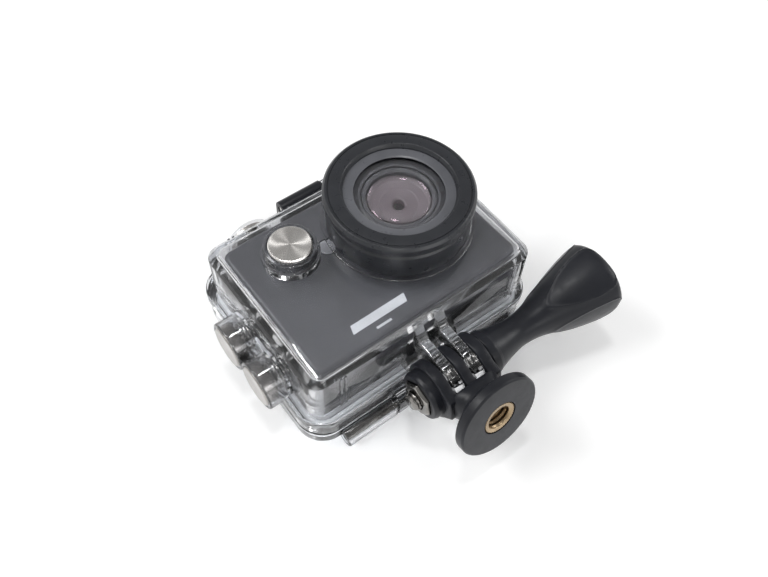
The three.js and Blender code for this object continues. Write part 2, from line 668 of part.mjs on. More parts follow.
function threadInsert() {
  const sleeve = tube(INSERT_R, THREAD_R, -DISC_FACE + 0.1, -INSERT_DEPTH, "y", [0, 0, 0], MEDIUM);
  return named("thread_insert", tilted(sleeve), 0xb8914f, 0.35, 1);
}

function lockNut() {
  const outer = PRONG_PITCH / 2 + PRONG_WIDTH * 1.5 + GAP + 0.1;
  const nut = rod(4.6, -outer - 3.6, -outer - 0.8, "x", [0, 0, 0], 6)
    .subtract(rod(BOLT_BORE, -20, 0, "x", [0, 0, 0], COARSE));
  return steel("lock_nut", tilted(nut));
}

// Thumb screw

function boltShaft() {
  const shaft = rod(BOLT_R, -12.9, 14.0, "x", [MOUNT_X, PIVOT_Y, PIVOT_Z], MEDIUM);
  return steel("bolt_shaft", shaft);
}

function knob() {
  const profile = [
    [0, KNOB_START], [5.5, KNOB_START], [5.9, 8.6], [5.9, 10.4], [5.5, 11.4], [4.7, 14.5],
    [4.0, 18], [3.9, 20.5], [4.3, 24], [5.2, 27.5], [6.5, 31], [8.1, 35], [9.4, 39],
    [10.1, 42], [10.4, 44], [10.3, 45.3], [9.7, 46.3], [8.2, 47.0], [5.6, KNOB_END], [0, KNOB_END],
  ];
  const body = turned(profile, "x", [0, 0, 0], MEDIUM);
  const slope = Math.atan2(2.9, 15);
  const cuts = [99, 189, 279, 369].map((degrees) => {
    const flat = new THREE.BoxGeometry(40, 30, 10);
    flat.translate(20, 0, 5);
    flat.applyMatrix4(new THREE.Matrix4().makeRotationY(-slope));
    flat.translate(PETAL_START, 0, PETAL_DISTANCE);
    flat.applyMatrix4(new THREE.Matrix4().makeRotationX(THREE.MathUtils.degToRad(degrees - 90)));
    return toSolid(flat);
  });
  const bore = rod(BOLT_BORE, 5, 14.3, "x", [0, 0, 0], COARSE);
  const solid = body.subtract(joined(cuts)).subtract(bore).translate([MOUNT_X, PIVOT_Y, PIVOT_Z]);
  return black("knob", solid);
}

const actionCamera = new THREE.Group();
actionCamera.name = "action_camera";
actionCamera.add(
  frontShell(), ...portParts(), backDoor(), ...doorTrim(), hingePin(), ...latchParts(),
  ...plungers(), ...plungerSeals(), ...returnSprings(),
  frontCover(), rearCover(), ...cameraTrim(), ...cameraButtons(), ...lensParts(), ...electronics(),
  tripodAdapter(), threadInsert(), lockNut(), boltShaft(), knob(),
);
export default actionCamera;
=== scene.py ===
import math

import bmesh
import bpy
import numpy as np
from mathutils import Matrix, Vector


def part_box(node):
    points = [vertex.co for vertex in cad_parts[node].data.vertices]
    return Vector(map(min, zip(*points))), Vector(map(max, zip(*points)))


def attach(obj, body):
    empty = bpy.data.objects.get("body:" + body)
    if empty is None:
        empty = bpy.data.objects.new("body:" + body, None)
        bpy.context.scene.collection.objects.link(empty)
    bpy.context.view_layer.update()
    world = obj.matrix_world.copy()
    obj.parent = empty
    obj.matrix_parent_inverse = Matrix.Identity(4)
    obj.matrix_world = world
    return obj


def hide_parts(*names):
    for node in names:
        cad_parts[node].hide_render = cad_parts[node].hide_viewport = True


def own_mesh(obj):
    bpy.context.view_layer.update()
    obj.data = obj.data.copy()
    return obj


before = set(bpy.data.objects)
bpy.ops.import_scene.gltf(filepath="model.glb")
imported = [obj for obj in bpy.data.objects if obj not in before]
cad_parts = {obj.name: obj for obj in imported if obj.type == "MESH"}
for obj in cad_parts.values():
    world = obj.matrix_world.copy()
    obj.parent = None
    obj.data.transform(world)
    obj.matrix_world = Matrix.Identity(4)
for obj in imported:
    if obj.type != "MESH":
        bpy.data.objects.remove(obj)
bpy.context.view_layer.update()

MM = 0.001
TURN = 2 * math.pi
QUARTER = math.pi / 2
ROUND = 128  # segments of a turned piece
CORNER_STEPS = 14
EDGE_STEPS = 5
SHARP = 32  # degrees between two faces, over which the edge stays crisp
SOFT = 40
AXIS_MATRIX = {
    "x": Matrix.Rotation(QUARTER, 4, "Y"),
    "y": Matrix.Rotation(-QUARTER, 4, "X"),
    "z": Matrix.Identity(4),
}


def low(node):
    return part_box(node)[0] / MM


def high(node):
    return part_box(node)[1] / MM


def middle(node):
    return (low(node) + high(node)) / 2


def on_axis(point, axis):
    """Where a line along the axis, through the point, crosses zero on that axis."""
    spot = Vector(point)
    spot["xyz".index(axis)] = 0
    return spot


# Mesh tools. Sizes are in millimetres and become metres in make().


def shade(piece, sharp=SHARP):
    piece.data.shade_smooth()
    piece.data.set_sharp_from_angle(angle=math.radians(sharp))
    return piece


def make(name, verts, faces, sharp=SHARP):
    mesh = bpy.data.meshes.new(name)
    mesh.from_pydata([Vector(v) * MM for v in verts], [], faces)
    mesh.validate()
    bm = bmesh.new()
    bm.from_mesh(mesh)
    bmesh.ops.remove_doubles(bm, verts=bm.verts, dist=1e-7)
    bmesh.ops.recalc_face_normals(bm, faces=bm.faces)
    bm.to_mesh(mesh)
    bm.free()
    piece = bpy.data.objects.new(name, mesh)
    bpy.context.scene.collection.objects.link(piece)
    return shade(piece, sharp)


def place(piece, matrix):
    piece.data.transform(matrix)
    piece.data.update()
    return piece


def shifted(piece, offset):
    return place(piece, Matrix.Translation(Vector(offset) * MM))


def softened(points, steps=5, closed=True):
    """Rounds each corner of a line of (a, b, radius) points and returns (a, b) points."""
    out = []
    count = len(points)
    for i, (a, b, radius) in enumerate(points):
        here = Vector((a, b))
        if radius <= 0 or (not closed and i in (0, count - 1)):
            out.append((a, b))
            continue
        before = Vector(points[i - 1][:2]) - here
        after = Vector(points[(i + 1) % count][:2]) - here
        angle = before.angle(after)
        cut = min(radius / math.tan(angle / 2), 0.48 * before.length, 0.48 * after.length)
        real = cut * math.tan(angle / 2)
        bisector = (before.normalized() + after.normalized()).normalized()
        centre = here + bisector * (real / math.sin(angle / 2))
        start = here + before.normalized() * cut - centre
        end = here + after.normalized() * cut - centre
        sweep = start.angle(end)
        for k in range(steps + 1):
            t = k / steps
            mixed = start * math.sin((1 - t) * sweep) + end * math.sin(t * sweep)
            out.append(tuple(centre + mixed / math.sin(sweep)))
    return out


def spin(name, profile, axis="z", centre=(0, 0, 0), segments=ROUND, shape=None, sharp=SHARP):
    """A closed solid of revolution. profile is a line of (radius, height) points, which
    either starts and ends on the axis or closes on itself. shape(i, r, h, turn) bends it."""
    on_centre_line = profile[0][0] < 1e-6
    verts, faces, rows = [], [], []
    for i, (r, h) in enumerate(profile):
        if r < 1e-6:
            rows.append([len(verts)] * segments)
            verts.append((0, 0, h))
            continue
        row = []
        for s in range(segments):
            turn = s / segments * TURN
            radius = shape(i, r, h, turn) if shape else r
            row.append(len(verts))
            verts.append((radius * math.cos(turn), radius * math.sin(turn), h))
        rows.append(row)
    pairs = list(zip(rows, rows[1:]))
    if not on_centre_line:
        pairs.append((rows[-1], rows[0]))
    for a, b in pairs:
        for s in range(segments):
            t = (s + 1) % segments
            face = [a[s], a[t], b[t], b[s]]
            face = [v for k, v in enumerate(face) if v not in face[:k]]
            if len(face) > 2:
                faces.append(face)
    piece = make(name, verts, faces, sharp)
    return shifted(place(piece, AXIS_MATRIX[axis]), centre)


def facing_down(line):
    return [(r, -h) for r, h in line]


def rod(name, radius, start, end, axis, through, edge=0.0, segments=ROUND):
    line = [(0, start, 0), (radius, start, edge), (radius, end, edge), (0, end, 0)]
    return spin(name, softened(line, 4, closed=False), axis, on_axis(through, axis), segments)


def ring(name, outer, inner, start, end, axis, through, edge=0.0):
    line = [(inner, start, edge), (outer, start, edge), (outer, end, edge), (inner, end, edge)]
    return spin(name, softened(line, 3), axis, on_axis(through, axis))


def torus(name, major, minor, axis, centre, segments=96, sides=16):
    turns = [k / sides * TURN for k in range(sides)]
    line = [(major + minor * math.cos(a), minor * math.sin(a)) for a in turns]
    return spin(name, line, axis, centre, segments)


def shrunk(size, inset):
    """A (half width, half height, corner radius) size with its outline moved inwards."""
    return tuple(value - inset for value in size)


def rounded_rect(size, z):
    half_w, half_h, corner = size
    points = []
    for sx, sy, turn in ((1, 1, 0), (-1, 1, 1), (-1, -1, 2), (1, -1, 3)):
        for i in range(CORNER_STEPS + 1):
            a = (turn + i / CORNER_STEPS) * QUARTER
            x = sx * (half_w - corner) + corner * math.cos(a)
            y = sy * (half_h - corner) + corner * math.sin(a)
            points.append((x, y, z))
    return points


def loft(name, rows, sharp=SHARP):
    count = len(rows[0])
    verts = [p for row in rows for p in row]
    faces = []
    for k in range(len(rows) - 1):
        for i in range(count):
            a, b = k * count + i, k * count + (i + 1) % count
            faces.append((a, b, b + count, a + count))
    last = (len(rows) - 1) * count
    faces.append(tuple(range(count - 1, -1, -1)))
    faces.append(tuple(range(last, last + count)))
    return make(name, verts, faces, sharp)


def slab(name, size, bottom, top, low_edge=0.0, high_edge=0.0, centre=(0, 0)):
    """A flat block with rounded corners, and with its bottom and top edges rounded if asked."""
    rows = []
    for i in range(EDGE_STEPS if low_edge else 0):
        a = i / EDGE_STEPS * QUARTER
        inset = low_edge * (1 - math.sin(a))
        rows.append(rounded_rect(shrunk(size, inset), bottom + low_edge * (1 - math.cos(a))))
    rows.append(rounded_rect(size, bottom + low_edge))
    for i in range(EDGE_STEPS + 1 if high_edge else 1):
        a = i / EDGE_STEPS * QUARTER
        inset = high_edge * (1 - math.cos(a))
        rows.append(rounded_rect(shrunk(size, inset), top - high_edge * (1 - math.sin(a))))
    return shifted(loft(name, rows), (*centre, 0))


def plate(name, points, start, end):
    """A flat shape given by (y, z) points, with its thickness along X."""
    count = len(points)
    verts = [(x, y, z) for x in (start, end) for y, z in points]
    faces = [tuple(range(count)), tuple(range(2 * count - 1, count - 1, -1))]
    for i in range(count):
        j = (i + 1) % count
        faces.append((i, j, j + count, i + count))
    return make(name, verts, faces)


def block(name, x, y, z, edge=0.0):
    verts = [(a, b, c) for a in x for b in y for c in z]
    faces = [(0, 1, 3, 2), (4, 6, 7, 5), (0, 4, 5, 1), (2, 3, 7, 6), (0, 2, 6, 4), (1, 5, 7, 3)]
    piece = make(name, verts, faces)
    return bevelled(piece, edge, angle=35) if edge else piece


def settle(piece):
    """Applies the piece's modifiers to its mesh."""
    graph = bpy.context.evaluated_depsgraph_get()
    graph.update()
    mesh = bpy.data.meshes.new_from_object(piece.evaluated_get(graph))
    piece.modifiers.clear()
    old = piece.data
    piece.data = mesh
    mesh.name = piece.name
    bpy.data.meshes.remove(old)
    return shade(piece)


def add_bevel(piece, width, segments, angle):
    bevel = piece.modifiers.new("bevel", "BEVEL")
    bevel.width = width * MM
    bevel.segments = segments
    bevel.limit_method = "ANGLE"
    bevel.angle_limit = math.radians(angle)


def bevelled(piece, width, segments=3, angle=SOFT):
    add_bevel(piece, width, segments, angle)
    return settle(piece)


def combine(piece, others, operation):
    for other in others:
        step = piece.modifiers.new("combine", "BOOLEAN")
        step.operation = operation
        step.solver = "MANIFOLD"
        step.object = other
    settle(piece)
    for other in others:
        bpy.data.objects.remove(other)
    return piece


def joined(piece, *others):
    return combine(piece, others, "UNION")


def carved(piece, *cutters):
    return combine(piece, cutters, "DIFFERENCE")


def tube_along(name, points, radius, sides):
    turns = [k / sides * TURN for k in range(sides)]
    rows = []
    side = None
    for i, p in enumerate(points):
        ahead = points[min(i + 1, len(points) - 1)] - points[max(i - 1, 0)]
        ahead.normalize()
        if side is None:
            side = ahead.orthogonal().normalized()
        side = (side - ahead * side.dot(ahead)).normalized()
        across = ahead.cross(side)
        rows.append([p + (side * math.cos(a) + across * math.sin(a)) * radius for a in turns])
    return loft(name, rows)


# Materials


def new_material(name):
    material = bpy.data.materials.new(name)
    material.use_nodes = True
    tree = material.node_tree
    return material, tree, tree.nodes["Principled BSDF"]


def noise_of(tree, scale, detail, roughness=0.5, stretch=(1, 1, 1)):
    coordinates = tree.nodes.new("ShaderNodeTexCoord")
    mapping = tree.nodes.new("ShaderNodeMapping")
    mapping.inputs["Scale"].default_value = stretch
    noise = tree.nodes.new("ShaderNodeTexNoise")
    noise.inputs["Scale"].default_value = scale
    noise.inputs["Detail"].default_value = detail
    noise.inputs["Roughness"].default_value = roughness
    tree.links.new(coordinates.outputs["Object"], mapping.inputs["Vector"])
    tree.links.new(mapping.outputs["Vector"], noise.inputs["Vector"])
    return noise.outputs["Fac"]


def ramp_of(tree, source, start, end, low_value, high_value):
    ramp = tree.nodes.new("ShaderNodeMapRange")
    ramp.inputs["From Min"].default_value = start
    ramp.inputs["From Max"].default_value = end
    ramp.inputs["To Min"].default_value = low_value
    ramp.inputs["To Max"].default_value = high_value
    tree.links.new(source, ramp.inputs["Value"])
    return ramp.outputs["Result"]


def two_tone(tree, source, dark, light, start=0.35, end=0.65):
    ramp = tree.nodes.new("ShaderNodeValToRGB")
    ramp.color_ramp.elements[0].position = start
    ramp.color_ramp.elements[0].color = (*dark, 1)
    ramp.color_ramp.elements[1].position = end
    ramp.color_ramp.elements[1].color = (*light, 1)
    tree.links.new(source, ramp.inputs["Fac"])
    return ramp.outputs["Color"]


def add_bump(tree, shader, source, strength, distance):
    bump = tree.nodes.new("ShaderNodeBump")
    bump.inputs["Strength"].default_value = strength
    bump.inputs["Distance"].default_value = distance
    tree.links.new(source, bump.inputs["Height"])
    tree.links.new(bump.outputs["Normal"], shader.inputs["Normal"])


def plastic(name, colour, roughness, grain, depth, specular=0.5):
    """Moulded plastic: a fine moulded grain, and faint patches of colour and polish."""
    material, tree, shader = new_material(name)
    patches = noise_of(tree, scale=90, detail=4)
    dark = tuple(c * 0.86 for c in colour)
    light = tuple(min(1, c * 1.14) for c in colour)
    tree.links.new(two_tone(tree, patches, dark, light), shader.inputs["Base Color"])
    wear = noise_of(tree, scale=420, detail=5, roughness=0.62)
    spread = ramp_of(tree, wear, 0.3, 0.7, roughness - 0.05, roughness + 0.07)
    tree.links.new(spread, shader.inputs["Roughness"])
    add_bump(tree, shader, noise_of(tree, grain, detail=2), 0.25, depth)
    shader.inputs["Specular IOR Level"].default_value = specular
    return material


def metal(name, dark, light, roughness, stretch=(1, 1, 1), play=1.0):
    """Worked metal: fine tool marks along the stretch, with small stains."""
    material, tree, shader = new_material(name)
    marks = noise_of(tree, scale=2600, detail=3, roughness=0.6, stretch=stretch)
    stains = noise_of(tree, scale=160, detail=4)
    tree.links.new(two_tone(tree, stains, dark, light), shader.inputs["Base Color"])
    smooth, dull = roughness - 0.05 * play, roughness + 0.08 * play
    tree.links.new(ramp_of(tree, marks, 0.25, 0.75, smooth, dull), shader.inputs["Roughness"])
    add_bump(tree, shader, marks, 0.2, 0.00001 * play)
    shader.inputs["Metallic"].default_value = 1
    return material


def spun_metal(axis, dark, light, roughness, anisotropy):
    """Metal turned on a lathe, with round streaks about an axis."""
    material = metal("spun_cap_" + axis.lower(), dark, light, roughness, play=0.12)
    tree = material.node_tree
    shader = tree.nodes["Principled BSDF"]
    shader.inputs["Anisotropic"].default_value = anisotropy
    tangent = tree.nodes.new("ShaderNodeTangent")
    tangent.direction_type = "RADIAL"
    tangent.axis = axis
    tree.links.new(tangent.outputs["Tangent"], shader.inputs["Tangent"])
    return material


def clear(name, tint, ior, roughness, haze, shadow, ripple=0.0, milk=0.0, glint=(1, 1, 1)):
    """Clear moulded plastic or glass that lets light from lamps through to what is behind."""
    material, tree, shader = new_material(name)
    shader.inputs["Base Color"].default_value = (*tint, 1)
    shader.inputs["Transmission Weight"].default_value = 1 - milk
    shader.inputs["IOR"].default_value = ior
    shader.inputs["Specular Tint"].default_value = (*glint, 1)
    flow = noise_of(tree, scale=55, detail=2)
    smears = noise_of(tree, scale=260, detail=5, roughness=0.6)
    spread = ramp_of(tree, smears, 0.45, 0.75, roughness, roughness + haze)
    tree.links.new(spread, shader.inputs["Roughness"])
    add_bump(tree, shader, flow, 0.3, ripple)
    through = tree.nodes.new("ShaderNodeBsdfTransparent")
    through.inputs["Color"].default_value = (*shadow, 1)
    path = tree.nodes.new("ShaderNodeLightPath")
    mix = tree.nodes.new("ShaderNodeMixShader")
    tree.links.new(path.outputs["Is Shadow Ray"], mix.inputs[0])
    tree.links.new(shader.outputs["BSDF"], mix.inputs[1])
    tree.links.new(through.outputs["BSDF"], mix.inputs[2])
    tree.links.new(mix.outputs["Shader"], tree.nodes["Material Output"].inputs["Surface"])
    return material


def board_material():
    """Solder mask with paler tracks under it."""
    material, tree, shader = new_material("circuit_board")
    cells = tree.nodes.new("ShaderNodeTexVoronoi")
    cells.feature = "DISTANCE_TO_EDGE"
    cells.inputs["Scale"].default_value = 420
    coordinates = tree.nodes.new("ShaderNodeTexCoord")
    tree.links.new(coordinates.outputs["Object"], cells.inputs["Vector"])
    edges = cells.outputs["Distance"]
    track, mask = (0.05, 0.2, 0.1), (0.015, 0.09, 0.045)
    tree.links.new(two_tone(tree, edges, track, mask, 0.03, 0.07), shader.inputs["Base Color"])
    add_bump(tree, shader, edges, 0.2, 0.00003)
    shader.inputs["Roughness"].default_value = 0.35
    return material


GREY_SHADOW = (0.9, 0.9, 0.9)
ALONG_X = (0.2, 3, 3)
CLEAR = clear("clear_polycarbonate", (0.79, 0.795, 0.81), 1.54, 0.05, 0.08, (0.93, 0.94, 0.95),
              ripple=0.00003, milk=0.004)
PORT_GLASS = clear("port_glass", (0.97, 0.975, 0.98), 1.5, 0.0, 0.015, (0.95, 0.95, 0.95))
LENS_GLASS = clear("lens_glass", (0.93, 0.88, 0.92), 1.62, 0.02, 0.03, GREY_SHADOW,
                   glint=(1, 0.8, 0.9))
INNER_GLASS = clear("inner_glass", (0.9, 0.93, 0.91), 1.62, 0.02, 0.03, GREY_SHADOW,
                    glint=(0.3, 1, 0.75))
SCREEN_GLASS = clear("screen_glass", (0.45, 0.46, 0.5), 1.5, 0.0, 0.02, (0.5, 0.5, 0.5))
BLACK = plastic("black_plastic", (0.0135, 0.0145, 0.0185), 0.34, 5200, 0.00005, specular=0.27)
PORT_BLACK = plastic("port_black", (0.019, 0.0205, 0.0245), 0.3, 7000, 0.000015)
# The lip's grey is partly its own colour and partly a painted reflection of the bright port
# window.
PORT_LIP_AND_PAINTED_REFLECTION = plastic("port_lip_and_painted_reflection", (0.1, 0.103, 0.115), 0.3, 7000, 0.00001)
LENS_GREY = plastic("lens_grey", (0.042, 0.0425, 0.05), 0.35, 7000, 0.000002)
LENS_WELL = plastic("lens_well", (0.088, 0.079, 0.084), 0.4, 7000, 0.000001)
SLATE = plastic("slate_plastic", (0.064, 0.0645, 0.072), 0.34, 6000, 0.00001)
CAMERA_BLACK = plastic("camera_black", (0.02, 0.021, 0.024), 0.45, 5200, 0.00004)
PRINT = plastic("pale_print", (0.56, 0.57, 0.59), 0.4, 4000, 0.00001)
RUBBER = plastic("black_rubber", (0.012, 0.012, 0.012), 0.7, 3000, 0.00003)
SILICONE = plastic("silicone", (0.55, 0.56, 0.57), 0.45, 2000, 0.00002)
CHIP = plastic("chip_black", (0.014, 0.014, 0.015), 0.6, 4000, 0.00003)
DISPLAY = plastic("display_black", (0.006, 0.006, 0.009), 0.12, 3000, 0.000002)
BATTERY = plastic("battery_wrap", (0.03, 0.045, 0.12), 0.35, 900, 0.00003)
LIGHT = plastic("indicator_blue", (0.03, 0.12, 0.5), 0.25, 1500, 0.00001)
GRILLE = plastic("grille_metal", (0.36, 0.36, 0.38), 0.4, 6000, 0.00001)
# All plunger caps are one turned metal. The upward power cap's metal (z) is lightened as painted
# light, and the sideways caps' metal (x) is darkened as painted shade.
CAP_Z_PAINTED_LIGHT = spun_metal("Z", (0.78, 0.75, 0.72), (0.86, 0.84, 0.81), 0.27, 0.9)
CAP_X_PAINTED_SHADE = spun_metal("X", (0.36, 0.345, 0.325), (0.46, 0.44, 0.42), 0.2, 0.6)
CAP_Y = spun_metal("Y", (0.62, 0.585, 0.54), (0.7, 0.67, 0.63), 0.24, 0.85)
STEEL = metal("bright_steel", (0.5, 0.49, 0.47), (0.66, 0.64, 0.61), 0.2, ALONG_X)
# Hinge pin steel, darkened as painted shade for the dark look of the pin inside its clear
# knuckle.
STEEL_PAINTED_SHADE = metal("steel_painted_shade", (0.07, 0.065, 0.058), (0.17, 0.16, 0.145), 0.22, ALONG_X)
DARK_STEEL = metal("dark_steel", (0.2, 0.19, 0.18), (0.36, 0.35, 0.33), 0.2, ALONG_X)
BRASS = metal("brass", (0.34, 0.25, 0.15), (0.52, 0.4, 0.26), 0.3)
TIN = metal("tinned_metal", (0.5, 0.5, 0.5), (0.62, 0.62, 0.62), 0.32)
BOARD = board_material()


def paint(piece, material):
    piece.data.materials.clear()
    piece.data.materials.append(material)


def dress(piece, material, body, node=None):
    """Gives a new piece its material and its body, and hides the CAD node it stands for."""
    paint(piece, material)
    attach(piece, body)
    if node:
        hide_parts(node)


# Housing sizes that the boxes of the CAD nodes don't give, in millimetres. A size is a half
# width, a half height and a corner radius.

WALL, WALL_CENTRE = (32.75, 23.6, 3.8), (-0.6, -0.4)
CAVITY, CAVITY_CENTRE = (30.4, 21.5, 2.2), (-0.3, -0.2)
FLANGE, FLANGE_CENTRE = (34.4, 26.8, 7.6), (-1.5, -0.2)
SKIRT = shrunk(FLANGE, 0.45)
GROOVE, GASKET, GROOVE_CENTRE = (32.8, 24.6, 5.3), (32.5, 24.3, 5.0), (-0.925, -0.2)
FLANGE_TOP, FLANGE_UNDER = 13.5, 11.0
SEAM_TOP, DOOR_TOP, DOOR_FLOOR = 7.2, 6.9, 2.0
PLATE_FRONT, PLATE_BACK, PLATE_CHAMFER = 28.4, 26.4, 2.0
PORT = middle("lens_port_ring")
POWER = middle("power_plunger")
SHUTTER = middle("shutter_plunger")
UP = middle("up_plunger")
DOWN = middle("down_plunger")
SIDE_FACE = -low("up_plunger").x

CAP_WELL_R, SHAFT_BORE_R, SEAL_POCKET_R = 5.75, 1.7, 2.7
SPRING_SEAT = (4.2, 3.0)

HINGE = middle("hinge_pin")
HINGE_END = high("hinge_pin").x + 0.3
HINGE_BORE_R, KNUCKLE_R = 1.6, 2.6
SHELL_KNUCKLE, DOOR_KNUCKLE = 12.9, 13.3
LATCH_PIN = middle("latch_pin")
LATCH_BORE_R = 1.1
LATCH_EARS, EAR_WIDTH, EAR_R = (4.2, 16.0), 3, 1.95

BOLT = middle("bolt_shaft")
BOLT_BORE_R = 2.65
MOUNT_X = -0.8
PRONG_PITCH, PRONG_WIDTH, PRONG_R = 6.1, 2.8, 7.4
TILT = math.radians(13.0)

CAMERA_CORNER, CAMERA_EDGE, CAMERA_WALL = 2.6, 1.2, 1.5

# Each push button: the axis it slides on, which way its cap faces, its cap's back and front and
# its shaft's end, measured that way, the middle of its seal, its spring, and the housing's holes
# for the cap, the spring, the shaft and the seal, as positions on the axis.
PLUNGERS = {
    "power": {
        "axis": "z", "sign": 1, "spot": POWER, "metal": CAP_Z_PAINTED_LIGHT, "press": (0, 0, 1),
        "back": 31.4, "front": 33.5, "shaft_end": 26.2, "seal": 27.9, "spring": (29.15, 31.3),
        "well": (30.0, 34), "seat": (29.0, 30.5), "bore": (25, 31), "pocket": (27.2, 28.6),
    },
    "shutter": {
        "axis": "y", "sign": 1, "spot": SHUTTER, "metal": CAP_Y, "press": (0, 1, 0),
        "back": 27.1, "front": 29.0, "shaft_end": 21.25, "seal": 23.3, "spring": (24.85, 27.0),
        "well": (25.7, 31), "seat": (24.7, 26.0), "bore": (21, 26), "pocket": (22.6, 24.0),
    },
}
for side_name, side_spot in (("up", UP), ("down", DOWN)):
    PLUNGERS[side_name] = {
        "axis": "x", "sign": -1, "spot": side_spot, "metal": CAP_X_PAINTED_SHADE, "press": (1, 0, 0),
        "back": SIDE_FACE - 3.7, "front": SIDE_FACE, "shaft_end": 30.35, "seal": -33.3,
        "spring": (6.2 - SIDE_FACE, 3.8 - SIDE_FACE),
        "well": (-41, 5.3 - SIDE_FACE), "seat": (5.0 - SIDE_FACE, 6.3 - SIDE_FACE),
        "bore": (5.0 - SIDE_FACE, -30), "pocket": (-34.0, -32.6),
    }


def arc(cy, cz, radius, start, end, steps):
    turns = [start + (end - start) * i / steps for i in range(steps + 1)]
    return [(cy + radius * math.cos(a), cz + radius * math.sin(a)) for a in turns]


def clear_prongs():
    pieces = []
    outline = arc(BOLT.y, BOLT.z, PRONG_R, QUARTER, 3 * QUARTER, 28)
    outline += [(-26.0, 9.4), (-22.6, 9.4), (-22.6, 27.5), (-23.3, 27.5), (-26.4, 23.4)]
    for side in (-1, 1):
        x = MOUNT_X + side * PRONG_PITCH / 2
        prong = plate("prong", outline, x - PRONG_WIDTH / 2, x + PRONG_WIDTH / 2)
        pieces.append(bevelled(prong, 0.35))
    foot = [(-23.2, 12.5), (-26.4, 12.5), (-26.4, 16.5), (-23.2, 22.5)]
    pieces.append(plate("foot", foot, MOUNT_X - 7.6, MOUNT_X + 7.6))
    return pieces


def shell_bosses():
    power = softened([
        (0, 27.4, 0), (7.1, 27.4, 0), (7.1, 30.6, 0.35), (6.45, 30.6, 0.15), (6.45, 33.0, 0.35),
        (0, 33.0, 0)], 4, closed=False)
    pieces = [spin("power_boss", power, "z", on_axis(POWER, "z"))]
    for spot in (UP, DOWN):
        pieces.append(rod("side_boss", 6.5, 0.3 - SIDE_FACE, -32.5, "x", spot, 0.45))
    pieces.append(block("web", (-36.4, -32.5), (DOWN.y, UP.y), (8.6, 18.8)))
    pieces.append(rod("shutter_boss", 6.6, 22.3, 29.4, "y", SHUTTER, 0.45))
    low_z, high_z = PLATE_FRONT - 0.5, PLATE_FRONT + 0.35
    pieces.append(ring("collar", 19.2, 18.2, low_z, high_z, "z", PORT, 0.25))
    return pieces


def shell_ribs():
    ribs = []
    for x in (-25.9, -24.6, 24.9, 26.2):
        for y in ((-24.4, -23.4), (22.7, 23.6)):
            ribs.append(block("rib", (x - 0.3, x + 0.3), y, (FLANGE_TOP - 1, 26.2)))
    return ribs


def latch_ears():
    ears = []
    for x in LATCH_EARS:
        ears.append(rod("ear", EAR_R, x, x + EAR_WIDTH, "x", LATCH_PIN, 0.15))
        ears.append(block("ear_foot", (x, x + EAR_WIDTH), (22.3, LATCH_PIN.y),
                          (LATCH_PIN.z - EAR_R, LATCH_PIN.z + EAR_R)))
    return ears


def hinge_arm():
    outer = HINGE.y - KNUCKLE_R
    line = [(outer, HINGE.z), (-26.9, HINGE.z), (-26.9, 7.4), (-25.5, 7.4), (-25.5, 10.2),
            (-27.2, 10.2), (outer, 7.6)]
    return plate("arm", line, -SHELL_KNUCKLE, SHELL_KNUCKLE)


def plunger_cuts():
    cuts = []
    for plunger in PLUNGERS.values():
        line = (plunger["axis"], plunger["spot"])
        cuts += [
            rod("well", CAP_WELL_R, *plunger["well"], *line),
            ring("seat", *SPRING_SEAT, *plunger["seat"], *line),
            rod("bore", SHAFT_BORE_R, *plunger["bore"], *line),
            rod("pocket", SEAL_POCKET_R, *plunger["pocket"], *line),
        ]
    return cuts


def build_shell():
    bend = (
        (0, PLATE_CHAMFER + 0.12), (0.06, PLATE_CHAMFER - 0.08), (PLATE_CHAMFER - 0.14, 0.06),
        (PLATE_CHAMFER, 0))
    rows = [rounded_rect(WALL, SEAM_TOP)]
    rows += [rounded_rect(shrunk(WALL, inset), PLATE_FRONT - drop) for inset, drop in bend]
    shell = shifted(loft("clear_front_shell", rows, 18), (*WALL_CENTRE, 0))
    joined(
        shell,
        slab("flange", FLANGE, FLANGE_UNDER, FLANGE_TOP, 0.2, 0.5, FLANGE_CENTRE),
        slab("skirt", SKIRT, SEAM_TOP, FLANGE_UNDER + 0.5, 0.25, 0, FLANGE_CENTRE),
        *shell_bosses(),
        *shell_ribs(),
        *clear_prongs(),
        rod("knuckle", KNUCKLE_R, -SHELL_KNUCKLE, SHELL_KNUCKLE, "x", HINGE, 0.25),
        hinge_arm(),
        *latch_ears(),
    )
    carved(
        shell,
        slab("cavity", CAVITY, SEAM_TOP - 1, PLATE_BACK, 0, 0.8, CAVITY_CENTRE),
        rod("port_hole", 14.4, 20, PLATE_FRONT + 1.5, "z", PORT),
        *plunger_cuts(),
        rod("latch_bore", LATCH_BORE_R, -4, 20, "x", LATCH_PIN),
        rod("hinge_bore", HINGE_BORE_R, -14, 14, "x", HINGE),
        rod("bolt_bore", BOLT_BORE_R, MOUNT_X - 8, MOUNT_X + 8, "x", BOLT),
    )
    dress(shell, CLEAR, "housing", "front_shell")


